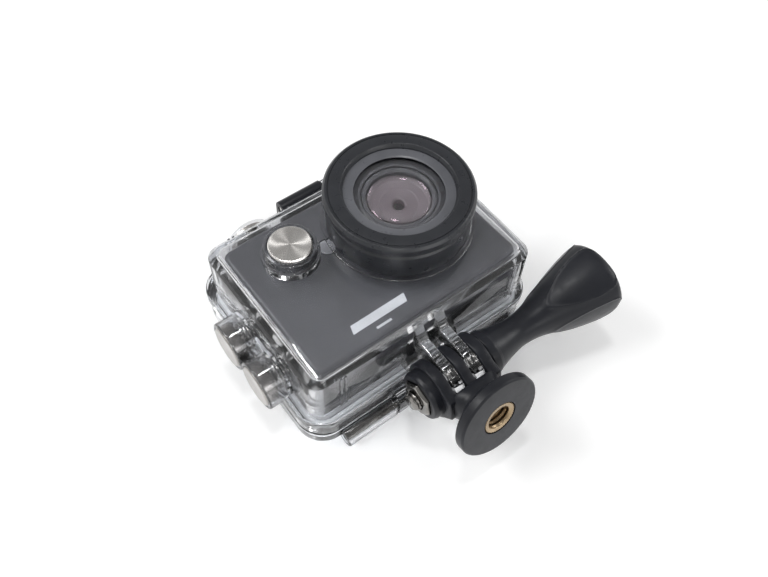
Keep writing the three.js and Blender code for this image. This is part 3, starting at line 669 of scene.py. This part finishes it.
def build_door():
    half_w, half_h, corner = SKIRT
    # outline's inset, corner radius's loss, height
    bowl = ((2.4, 1.6, 0), (1.5, 1.1, 0.5), (0.8, 0.6, 1.5), (0.2, 0.15, 2.7), (0, 0, 3.4),
            (0, 0, DOOR_TOP - 0.25), (0.25, 0.25, DOOR_TOP))
    rows = [rounded_rect((half_w - inset, half_h - inset, corner - loss), z)
            for inset, loss, z in bowl]
    door = shifted(loft("clear_back_door", rows, SOFT), (*FLANGE_CENTRE, 0))
    catch = block("catch", (-7, 21), (24.5, LATCH_PIN.y + 1.5), (2.8, 4.8), 0.3)
    knuckles = [rod("knuckle", KNUCKLE_R, start, end, "x", HINGE, 0.3)
                for start, end in ((-HINGE_END, -DOOR_KNUCKLE), (DOOR_KNUCKLE, HINGE_END))]
    joined(door, catch, *knuckles)
    groove = slab("groove", GROOVE, 5.6, DOOR_TOP + 1, centre=GROOVE_CENTRE)
    core = slab("core", shrunk(GROOVE, 1.35), 5.0, DOOR_TOP + 2, centre=GROOVE_CENTRE)
    carved(
        door,
        slab("tray", CAVITY, DOOR_FLOOR, DOOR_TOP + 1, 0.6, 0, CAVITY_CENTRE),
        carved(groove, core),
        rod("relief", KNUCKLE_R + 0.35, 0.05 - DOOR_KNUCKLE, DOOR_KNUCKLE - 0.05, "x", HINGE),
        rod("pin_bore", HINGE_BORE_R, -29, 29, "x", HINGE),
    )
    dress(door, CLEAR, "door", "back_door")


def build_door_trim():
    gasket = slab("silicone_gasket", GASKET, 5.9, DOOR_TOP + 0.05, 0.3, 0.3, GROOVE_CENTRE)
    carved(gasket, slab("inside", shrunk(GASKET, 0.75), 5.0, DOOR_TOP + 1, centre=GROOVE_CENTRE))
    dress(gasket, SILICONE, "door", "door_gasket")
    for name in ("door_pad_upper", "door_pad_lower"):
        pad = block(name + "_moulded", *zip(low(name), high(name)), 0.25)
        dress(pad, RUBBER, "door", name)


def build_port():
    centre = on_axis(PORT, "z")
    barrel = softened([
        (13.6, 28.7, 0.1), (17.9, 28.7, 0.2), (17.9, 35.1, 0.2), (17.35, 35.6, 0.2),
        (17.35, 36.6, 0.1), (15.6, 36.6, 0.1), (15.6, 35.2, 0), (13.6, 35.2, 0.1)], 3)
    dress(spin("satin_port_barrel", barrel, "z", centre), PORT_BLACK, "housing",
          "lens_port_barrel")
    face = high("lens_port_ring").z
    lip_r, lip_z, lip_back = 13.5, 38.42, 37.9
    line = softened([
        (15.6, 36.9, 0.05), (18.2, 36.9, 0.15), (18.5, 37.3, 0.2), (18.5, face - 0.75, 0.25),
        (17.85, face - 0.05, 0.3), (17.3, face - 0.05, 0.04), (17.22, face - 0.28, 0.03),
        (17.05, face - 0.28, 0.03), (16.97, face - 0.02, 0.05), (15.4, face, 0),
        (14.15, face, 0.25), (13.56, 38.8, 0.12), (lip_r, lip_z, 0)], 4)
    line += softened([
        (lip_r, lip_z, 0), (11.5, 38.14, 0.15), (11.05, 38.0, 0.08), (11.05, lip_back, 0),
        (15.6, lip_back, 0)], 3, closed=False)[1:]
    port_ring = spin("satin_port_ring", line, "z", centre, 160)
    dress(port_ring, PORT_BLACK, "housing", "lens_port_ring")
    # The lip inside lip_r takes the lighter grey: partly the lip's own colour, partly a painted
    # reflection.
    port_ring.data.materials.append(PORT_LIP_AND_PAINTED_REFLECTION)
    for polygon in port_ring.data.polygons:
        middle_mm = Vector(polygon.center) / MM
        out = (middle_mm - Vector(PORT)).to_2d().length
        if out < lip_r - 0.05 and middle_mm.z > lip_back + 0.02:
            polygon.material_index = 1
    window = rod("optical_window", 15.3, 36.9, 37.6, "z", PORT, 0.1)
    dress(window, PORT_GLASS, "housing", "port_window")
    seal = torus("port_o_ring", 14.7, 0.6, "z", (PORT.x, PORT.y, 36.1))
    dress(seal, RUBBER, "housing", "port_seal")


def build_plunger(name, plunger):
    axis, sign = plunger["axis"], plunger["sign"]
    back, front, shaft_end = plunger["back"], plunger["front"], plunger["shaft_end"]
    centre = on_axis(plunger["spot"], axis)
    line = softened([
        (0, shaft_end, 0), (1.4, shaft_end, 0.2), (1.4, back, 0.2), (4.6, back, 0.1),
        (5.0, back + 0.25, 0.1), (5.35, back + 0.3, 0.1), (5.35, front - 0.3, 0.12),
        (5.12, front - 0.04, 0.1), (4.95, front, 0.05), (4.8, front - 0.02, 0),
        (3.2, front - 0.05, 0), (1.6, front - 0.096, 0), (0, front - 0.112, 0)],
        4, closed=False)
    piece = spin(name + "_metal_plunger", [(r, sign * h) for r, h in line], axis, centre, 144,
                 sharp=24)
    dress(piece, plunger["metal"], name + "_push", name + "_plunger")
    seal_at = centre.copy()
    seal_at["xyz".index(axis)] = plunger["seal"]
    seal = torus(name + "_o_ring", 2.05, 0.3, axis, seal_at, 48)
    dress(seal, RUBBER, "housing", name + "_seal")


def build_spring(name, plunger):
    turns, steps, wire, radius, flat_share = 3.0, 140, 0.17, 3.6, 0.12
    start, end = plunger["spring"]
    k = "xyz".index(plunger["axis"])
    centre = on_axis(plunger["spot"], plunger["axis"])
    direction = 1 if end > start else -1
    first, last = start + direction * wire, end - direction * wire
    points = []
    for i in range(steps + 1):
        t = i / steps
        a = t * turns * TURN
        climb = min(1, max(0, (t - flat_share) / (1 - 2 * flat_share)))
        point = centre.copy()
        point[(k + 1) % 3] += radius * math.cos(a)
        point[(k + 2) % 3] += radius * math.sin(a)
        point[k] = first + (last - first) * climb
        points.append(point)
    coil = tube_along(name + "_coil", points, wire, 10)
    dress(coil, STEEL, "housing", name + "_spring")
    anchor = centre.copy()
    anchor[k] = start
    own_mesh(coil)


def build_key(name, axis):
    node = name + "_button"
    start, end = low(node), high(node)
    k = "xyz".index(axis)
    across = (k + 1) % 3
    radius = (end[across] - start[across]) / 2
    key = rod(name + "_key", radius, start[k], end[k], axis, middle(node), 0.35, 96)
    on_face = name == "power"
    dress(key, SLATE if on_face else CAMERA_BLACK, name + "_key",
          node)


def build_buttons():
    for name, plunger in PLUNGERS.items():
        build_plunger(name, plunger)
        build_spring(name, plunger)
    for name, plunger in PLUNGERS.items():
        build_key(name, plunger["axis"])


def camera_size(node):
    start, end = low(node), high(node)
    return ((end.x - start.x) / 2, (end.y - start.y) / 2, CAMERA_CORNER), start.z, end.z


def build_front_cover():
    size, back, face = camera_size("camera_front_cover")
    cover = slab("slate_front_cover", size, back, face, 0, CAMERA_EDGE)
    roof = face - CAMERA_WALL
    carved(
        cover,
        slab("hollow", shrunk(size, CAMERA_WALL), back - 1, roof),
        rod("lens_hole", 8.9, 20, 27, "z", PORT),
        rod("key_hole", 4.9, 20, 27, "z", POWER),
        rod("grille_hole", 2.4, roof + 0.6, 27, "z", middle("microphone_grille")),
        ring("lens_groove", 13.3, 13.0, face - 0.15, face + 1, "z", PORT),
    )
    dress(cover, SLATE, "housing", "camera_front_cover")
    build_marks(face)


def build_marks(face):
    """Plain printed marks of no meaning: a slanted bar, a short rule and a row of dots."""
    bottom, top = face + 0.01, face + 0.05

    def mark(name, outline):
        return loft(name, [[(x, y, z) for x, y in outline] for z in (bottom, top)])

    start, base, length, tall, slant = -17.0, -16.5, 15.5, 2.3, 0.7
    marks = mark("accent_bar", [
        (start, base), (start + length, base), (start + length + slant, base + tall),
        (start + slant, base + tall)])
    rule = mark("rule", [(-11.6, -18.5), (-7.4, -18.5), (-7.4, -17.9), (-11.6, -17.9)])
    dots = [rod("dot", 0.42, bottom, top, "z", (25.4, -6.6 + i * 1.5, 0), segments=32)
            for i in range(4)]
    joined(marks, rule, *dots)
    marks.name = "printed_marks"
    dress(marks, PRINT, "housing")


def build_rear_cover():
    size, back, front = camera_size("camera_rear_cover")
    cover = slab("textured_rear_cover", size, back, front, CAMERA_EDGE, 0)
    left, right, bottom = (-31, -27), (26, 31), (-22, -19.5)
    cuts = [
        slab("hollow", shrunk(size, CAMERA_WALL), back + 2.6, front + 1),
        block("window_step", (-20.3, 12.3), (-12.3, 12.3), (0, back + 1.3)),
        block("window", (-19.3, 11.3), (-11.3, 11.3), (0, back + 4)),
        rod("shutter_key_hole", 4.5, 17, 22, "y", SHUTTER),
        rod("up_key_hole", 3.7, *left, "x", UP),
        rod("down_key_hole", 3.7, *left, "x", DOWN),
        rod("light_hole", 1.3, 0, back + 1.2, "z", (20, 9.5, 0)),
        block("battery_bay", (-22.3, 2.3), bottom, (6.7, 15.3)),
        block("hdmi_hole", right, (-4.3, 4.3), (9.7, 13.3)),
        block("usb_hole", right, (6.7, 15.3), (9.7, 13.3)),
        block("card_slot", right, (-16.3, -6.2), (10.2, 12.3)),
    ]
    for i in range(9):
        z = 6.6 + i * 1.35
        cuts.append(block("grip_groove", (6, 26), (-22, -20.35), (z, z + 0.55)))
    carved(cover, *cuts)
    dress(cover, CAMERA_BLACK, "housing", "camera_rear_cover")


def build_grille():
    start, end, centre = (f("microphone_grille") for f in (low, high, middle))
    disc = rod("perforated_grille", (end.x - start.x) / 2, start.z, end.z, "z", centre, 0.08, 64)
    reach, pitch, row_pitch, holes_within = 5, 0.42, 0.87, 1.8
    holes = []
    for i in range(-reach, reach + 1):
        for j in range(-reach, reach + 1):
            x, y = (i + 0.5 * (j % 2)) * pitch, j * pitch * row_pitch
            if math.hypot(x, y) < holes_within:
                at = (centre.x + x, centre.y + y, 0)
                holes.append(rod("hole", 0.13, start.z - 1, end.z + 1, "z", at, segments=8))
    carved(disc, *holes)
    dress(disc, GRILLE, "housing", "microphone_grille")


def build_lens():
    top = high("lens_barrel").z
    dome_r, dome_start, dome_rise, dome_steps = 7.6, 34.8, 1.5, 24
    dome = [(0, 33.2), (7.3, 33.2), (dome_r, 33.5), (dome_r, dome_start)]
    for k in range(1, dome_steps):
        a = k / dome_steps * QUARTER
        dome.append((dome_r * math.cos(a), dome_start + dome_rise * math.sin(a)))
    dome.append((0, dome_start + dome_rise))
    barrel = softened([
        (8.6, 25.8, 0.1), (10.9, 25.8, 0.2), (10.9, 32.0, 0.2), (13.0, 32.6, 0.2),
        (13.0, 35.1, 0.2), (10.7, top - 0.4, 0.15), (9.95, top, 0.15), (9.3, top, 0.1),
        (9.3, 34.9, 0.1), (8.6, 34.9, 0.1)], 4)
    bezel = softened([
        (7.9, 35.2, 0.05), (9.0, 35.2, 0.1), (9.0, top - 0.3, 0.15), (8.6, top - 0.2, 0.1),
        (8.0, top - 0.75, 0.12)], 4)
    well = softened([
        (1.3, 31.0, 0.1), (8.2, 31.0, 0.1), (8.2, 32.9, 0.1), (6.6, 32.9, 0.1),
        (6.2, 32.7, 0.1), (4.4, 32.6, 0.1), (4.1, 32.4, 0.1), (1.7, 32.3, 0.1),
        (1.3, 32.0, 0.1)], 3)
    rear = softened([
        (0, 24.6, 0), (4.2, 24.6, 0.2), (4.2, 25.6, 0.2), (2.6, 26.5, 1.0), (0, 26.9, 0)],
        6, closed=False)
    for name, line, material, slot, node in (
        ("lens_barrel_shell", barrel, LENS_GREY, "camera_black", "lens_barrel"),
        ("lens_trim_ring", bezel, LENS_GREY, "camera_black", "lens_bezel"),
        ("front_lens_element", dome, LENS_GLASS, "lens_glass", "lens_front_element"),
        ("aperture_disc", well, LENS_WELL, "camera_black", "aperture_plate"),
        ("rear_lens_element", rear, INNER_GLASS, "lens_glass", "lens_rear_element"),
    ):
        dress(spin(name, line, "z", on_axis(PORT, "z")), material, "housing", node)


def build_hinge_pin():
    start, end = low("hinge_pin"), high("hinge_pin")
    radius = (end.z - start.z) / 2
    stations, plain_tip, knurled_to, ridges = 120, 0.15, 6.0, 20
    line = [(0, start.x)]
    for i in range(stations + 1):
        line.append((radius, start.x + (end.x - start.x) * i / stations))
    line.append((0, end.x))

    def knurl(i, r, h, turn):
        near = h - start.x
        if near < plain_tip or near > knurled_to:
            return r - 0.12
        return r - 0.14 * (0.5 + 0.5 * math.cos(ridges * turn))

    pin = spin("knurled_hinge_pin", line, "x", on_axis(HINGE, "x"), 160, knurl, 50)
    # The pin's steel is darkened as painted shade.
    dress(pin, STEEL_PAINTED_SHADE, "housing", "hinge_pin")


def build_latch():
    start, end = low("latch").x, high("latch").x
    nose_r, nose_steps = 2.3, 32
    nose = []
    for i in range(nose_steps + 1):
        a = -math.pi * 0.62 + i / nose_steps * math.pi * 1.12
        nose.append((LATCH_PIN.y + nose_r * math.sin(a), LATCH_PIN.z + nose_r * math.cos(a)))
    lever_line = ((2.65, 9.0), (3.95, 6.4), (3.95, 1.9), (3.35, 1.2), (2.55, 1.2), (1.95, 1.9),
                  (1.95, 5.4), (0.55, 6.8), (0.55, 18.9))
    outline = nose + [(LATCH_PIN.y + reach, z) for reach, z in lever_line]
    lever = bevelled(plate("black_latch_lever", outline, start, end), 0.4, 4)
    cuts = [block("slot", (x - 0.3, x + EAR_WIDTH + 0.3), (23, 31),
                  (LATCH_PIN.z - 2.5, LATCH_PIN.z + 4))
            for x in LATCH_EARS]
    cuts.append(rod("bore", LATCH_BORE_R, -12, 26, "x", LATCH_PIN))
    for i in range(5):
        z = 9.6 + i * 1.5
        cuts.append(block("grip", (start + 4, end - 4), (LATCH_PIN.y + 2.33, 32), (z, z + 0.7)))
    carved(lever, *cuts)
    dress(lever, BLACK, "latch", "latch")


# The adapter, its insert and its nut are made with the bolt's axis on X and the disc's axis on
# Y, then tilted into place.

ORIGIN = (0, 0, 0)
ADAPTER_MATRIX = (Matrix.Translation(Vector((MOUNT_X, BOLT.y, BOLT.z)) * MM)
                  @ Matrix.Rotation(-TILT, 4, "X"))
CENTRE_PRONG = PRONG_PITCH / 2 - PRONG_WIDTH / 2 - 0.3
SIDE_PRONG = PRONG_PITCH / 2 + PRONG_WIDTH / 2 + 0.3
SIDE_PRONG_END = SIDE_PRONG + PRONG_WIDTH + 0.1


def adapter_prong(start, end):
    outline = arc(0, 0, PRONG_R - 0.1, -0.78 * math.pi, 0.78 * math.pi, 40)
    outline += [(-8.6, 3.3), (-8.6, -2.4)]
    return bevelled(plate("prong", outline, start, end), 0.35)


def build_adapter():
    # distance from the bolt, then half width, half depth and corner radius
    sections = (
        (7.6, (6.5, 4.8, 3.0)), (8.3, (6.7, 5.2, 3.8)), (9.6, (6.4, 5.2, 4.6)),
        (10.8, (6.4, 5.3, 5.1)), (12.0, (6.8, 5.8, 5.6)), (13.0, (7.5, 6.8, 6.6)),
        (13.9, (8.7, 8.2, 8.1)))
    rows = [[(x, -reach, y) for x, y, _ in rounded_rect(size, 0)] for reach, size in sections]
    neck = loft("moulded_tripod_adapter", rows, 50)
    disc = softened([
        (0, 13.7, 0), (10.7, 13.7, 0.3), (11.1, 14.1, 0.3), (11.1, 16.1, 0.35),
        (10.7, 16.5, 0.3), (0, 16.5, 0)], 4, closed=False)
    end = SIDE_PRONG_END
    boss = softened([
        (0, end - 0.5, 0), (6.3, end - 0.5, 0), (6.3, end + 1.6, 0.5), (5.9, end + 2.6, 0.5),
        (0, end + 2.6, 0)], 5, closed=False)
    joined(
        neck,
        spin("disc", facing_down(disc), "y", ORIGIN, 160),
        spin("boss", facing_down(boss), "x"),
        adapter_prong(-SIDE_PRONG_END, -SIDE_PRONG),
        adapter_prong(-CENTRE_PRONG, CENTRE_PRONG),
        adapter_prong(SIDE_PRONG, SIDE_PRONG_END),
    )
    carved(
        neck,
        rod("nut_pocket", 5.0, -end - 4, -end - 0.4, "x", ORIGIN, segments=6),
        rod("bolt_bore", BOLT_BORE_R, -20, 20, "x", ORIGIN),
        rod("insert_bore", 4.6, -20, -9.0, "y", ORIGIN),
    )
    place(neck, ADAPTER_MATRIX)
    dress(neck, BLACK, "adapter", "tripod_adapter")


def sawtooth(phase):
    """A wave of straight flanks from -0.5 to 0.5, once for each whole step of phase."""
    return 2 * abs(phase % 1 - 0.5) - 0.5


def build_insert():
    face, back = 16.4, 9.3
    steps, knurls, knurl_depth, thread_pitch, thread_depth = 70, 40, 0.32, 1.27, 0.26
    line = [(4.3, back), (4.3, face - 0.2), (4.2, face), (3.4, face), (3.2, face - 0.15)]
    knurled, threads_from = 3, len(line)
    for i in range(steps + 1):
        line.append((3.1, face - 0.3 - (face - 0.5 - back) * i / steps))

    def work(i, r, h, turn):
        if i < knurled:
            return r + knurl_depth * sawtooth(turn / TURN * knurls)
        if i >= threads_from:
            return r + thread_depth * sawtooth(-h / thread_pitch + turn / TURN)
        return r

    piece = spin("knurled_brass_insert", facing_down(line), "y", ORIGIN, 200, work, 60)
    place(piece, ADAPTER_MATRIX)
    dress(piece, BRASS, "adapter", "thread_insert")


def build_nut():
    back = PRONG_PITCH / 2 + PRONG_WIDTH * 1.5 + 1.2
    face = back + 2.8
    nut = rod("steel_hex_nut", 4.6, -face, -back, "x", ORIGIN, segments=6)
    rim = softened([(0, -face, 0), (3.9, -face, 0), (4.75, 0.5 - face, 0), (4.75, -back, 0),
                    (0, -back, 0)], 1, closed=False)
    combine(nut, [spin("rim", rim, "x")], "INTERSECT")
    carved(nut, rod("nut_bore", BOLT_BORE_R, -20, 0, "x", ORIGIN))
    bevelled(nut, 0.12, 2, 30)
    place(nut, ADAPTER_MATRIX)
    dress(nut, DARK_STEEL, "adapter", "lock_nut")


def build_bolt():
    start, end = low("bolt_shaft").x, high("bolt_shaft").x
    steps, pitch, depth = 90, 0.8, 0.3
    line = [(0, start), (1.75, start), (1.95, start + 0.25)]
    threads_from = len(line)
    for i in range(steps + 1):
        line.append((2.2, start + 0.35 + (end - start - 0.4) * i / steps))
    line += [(2.0, end), (0, end)]

    def thread(i, r, h, turn):
        if threads_from <= i <= threads_from + steps:
            return r + depth * sawtooth(h / pitch - turn / TURN)
        return r

    bolt = spin("threaded_bolt", line, "x", on_axis(BOLT, "x"), 96, thread, 60)
    dress(bolt, DARK_STEEL, "thumb_screw", "bolt_shaft")


def curve_through(points, steps):
    """A smooth line through points, which the first and the last point only guide."""
    out = []
    for k in range(1, len(points) - 2):
        a, b, c, d = (np.array(q, dtype=float) for q in points[k - 1:k + 3])
        for i in range(steps):
            t = i / steps
            bend = (2 * a - 5 * b + 4 * c - d) * t ** 2 + (3 * b - a - 3 * c + d) * t ** 3
            out.append(tuple(0.5 * (2 * b + (c - a) * t + bend)))
    out.append(tuple(points[-2]))
    return out


def build_knob():
    end = high("knob").x - MOUNT_X
    collar = softened([
        (2.65, 8.0, 0), (5.5, 8.0, 0.15), (5.9, 8.6, 0.25), (5.9, 10.4, 0.3), (5.5, 11.4, 0.3),
        (5.3, 12.2, 0)], 4, closed=False)
    body = curve_through([
        (5.5, 11.4), (5.3, 12.2), (4.7, 14.5), (4.05, 18), (3.95, 20.5), (4.3, 24), (5.2, 27.5),
        (6.5, 31), (8.1, 35), (9.4, 39), (10.1, 42), (10.38, 44), (10.34, 45.1), (9.85, 46.1),
        (8.6, 46.85), (6.6, 47.25), (4.0, end - 0.03), (1.5, end)], 12)
    line = [(0, 8.0)] + collar + body[1:] + [(0, end)]
    petals_from, count, first_angle = 25, 4, 99
    share, ridge, ridge_width = 0.5, 0.13, 0.16
    flat_start, flat_x, flat_end, flat_slope = 5.6, 29.0, 46.0, 2.9 / 15

    def petals(i, r, x, turn):
        if x < petals_from:
            return r
        # turn runs round local Z, which lies along X once placed
        angle = math.degrees(math.atan2(-math.cos(turn), math.sin(turn)))
        sector = 360 / count
        offset = (angle - first_angle + sector / 2) % sector - sector / 2
        distance = flat_start + (min(x, flat_end) - flat_x) * flat_slope
        flat = distance / math.cos(math.radians(offset))
        edge = ridge * math.exp(-((r - flat) / ridge_width) ** 2)
        return r - share * max(0, r - flat) + edge

    knob = spin("petal_knob", line, "x", (MOUNT_X, BOLT.y, BOLT.z), 288, petals, SOFT)
    dress(knob, BLACK, "thumb_screw", "knob")


def dress_cad_nodes():
    looks = {
        "latch_pin": STEEL, "battery_door": CAMERA_BLACK, "screen_window": SCREEN_GLASS,
        "status_light": LIGHT, "image_sensor": DISPLAY, "sensor_board": BOARD,
        "main_board": BOARD, "processor": CHIP, "battery": BATTERY, "screen_panel": DISPLAY,
        "usb_socket": TIN, "hdmi_socket": TIN, "card_socket": TIN, "memory_card": CHIP,
        "speaker": TIN,
    }
    for name, material in looks.items():
        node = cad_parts[name]
        paint(node, material)
        add_bevel(node, 0.12, 2, SOFT)


# Camera, lamps and floor

CAMERA_AT = (-72.9, -95.3, 192.3)
CAMERA_TURN = (-39.2, 56.63, 2.68)  # azimuth, elevation and roll in degrees
FOCAL_LENGTH, SENSOR_WIDTH = 39.375, 36
FLOOR_REACH, FLOOR_Z = 3000, -0.05
HORIZON_LIGHT, ZENITH_LIGHT, FLOOR_GLOW = 0.68, 0.3, 0.14
AIM = Vector((0, 0, 0.02))
LAMPS = (
    # name, place and size in metres, power in watts
    ("upper_left", (-0.55, 0.45, 0.8), (0.5, 0.4), 5.0),
    ("right", (0.8, -0.3, 0.55), (0.4, 0.4), 2.5),
    ("front", (0.1, -0.9, 0.5), (0.6, 0.3), 1.3),
    ("behind", (-0.5, -0.62, 0.75), (0.14, 0.14), 1.0),
    ("above", (0.02, 0.12, 1.1), (0.13, 0.13), 1.8),
)


def build_camera():
    azimuth, elevation, roll = (math.radians(v) for v in CAMERA_TURN)
    flat = math.cos(elevation)
    back = Vector((math.sin(azimuth) * flat, -math.cos(azimuth) * flat, math.sin(elevation)))
    right = Vector((math.cos(azimuth), math.sin(azimuth), 0))
    up = back.cross(right)
    turned_right = right * math.cos(roll) + up * math.sin(roll)
    turned_up = up * math.cos(roll) - right * math.sin(roll)
    data = bpy.data.cameras.new("camera")
    data.sensor_width = SENSOR_WIDTH
    data.lens = FOCAL_LENGTH
    data.clip_start, data.clip_end = 0.01, 20
    camera = bpy.data.objects.new("camera", data)
    basis = Matrix((turned_right, turned_up, back)).transposed().to_4x4()
    camera.matrix_world = Matrix.Translation(Vector(CAMERA_AT) * MM) @ basis
    bpy.context.scene.collection.objects.link(camera)
    bpy.context.scene.camera = camera


def add_lamp(name, at, size, power):
    data = bpy.data.lights.new(name, "AREA")
    data.shape = "RECTANGLE"
    data.size, data.size_y = size
    data.energy = power
    light = bpy.data.objects.new(name, data)
    turn = (Vector(at) - AIM).to_track_quat("Z", "Y")
    light.matrix_world = Matrix.Translation(Vector(at)) @ turn.to_matrix().to_4x4()
    bpy.context.scene.collection.objects.link(light)


def build_floor():
    corners = ((-1, -1), (1, -1), (1, 1), (-1, 1))
    verts = [(x * FLOOR_REACH, y * FLOOR_REACH, FLOOR_Z) for x, y in corners]
    floor = make("floor", verts, [(0, 1, 2, 3)])
    material, tree, shader = new_material("pale_floor")
    paper = two_tone(tree, noise_of(tree, scale=30, detail=3), (0.93,) * 3, (0.96,) * 3)
    tree.links.new(paper, shader.inputs["Base Color"])
    shader.inputs["Roughness"].default_value = 0.9
    shader.inputs["Specular IOR Level"].default_value = 0.1
    shader.inputs["Emission Color"].default_value = (1, 1, 1, 1)
    shader.inputs["Emission Strength"].default_value = FLOOR_GLOW
    floor.data.materials.append(material)


def build_sky():
    """White light from all round, stronger near the horizon than overhead."""
    world = bpy.data.worlds.new("studio")
    bpy.context.scene.world = world
    world.use_nodes = True
    sky = world.node_tree
    background = sky.nodes["Background"]
    background.inputs["Color"].default_value = (1, 1, 1, 1)
    direction = sky.nodes.new("ShaderNodeTexCoord")
    split = sky.nodes.new("ShaderNodeSeparateXYZ")
    sky.links.new(direction.outputs["Generated"], split.inputs[0])
    fade = ramp_of(sky, split.outputs["Z"], 0.35, 0.75, HORIZON_LIGHT, ZENITH_LIGHT)
    sky.links.new(fade, background.inputs["Strength"])


def build_stage():
    build_floor()
    for name, at, size, power in LAMPS:
        add_lamp(name, at, size, power)
    build_sky()
    bpy.context.scene.view_settings.view_transform = "Standard"
    cycles = bpy.context.scene.cycles
    cycles.max_bounces = 18
    cycles.transmission_bounces = 18
    cycles.transparent_max_bounces = 40


build_camera()
build_stage()
build_shell()
build_door()
build_door_trim()
build_port()
build_buttons()
build_front_cover()
build_rear_cover()
build_grille()
build_lens()
build_hinge_pin()
build_latch()
build_adapter()
build_insert()
build_nut()
build_bolt()
build_knob()
dress_cad_nodes()
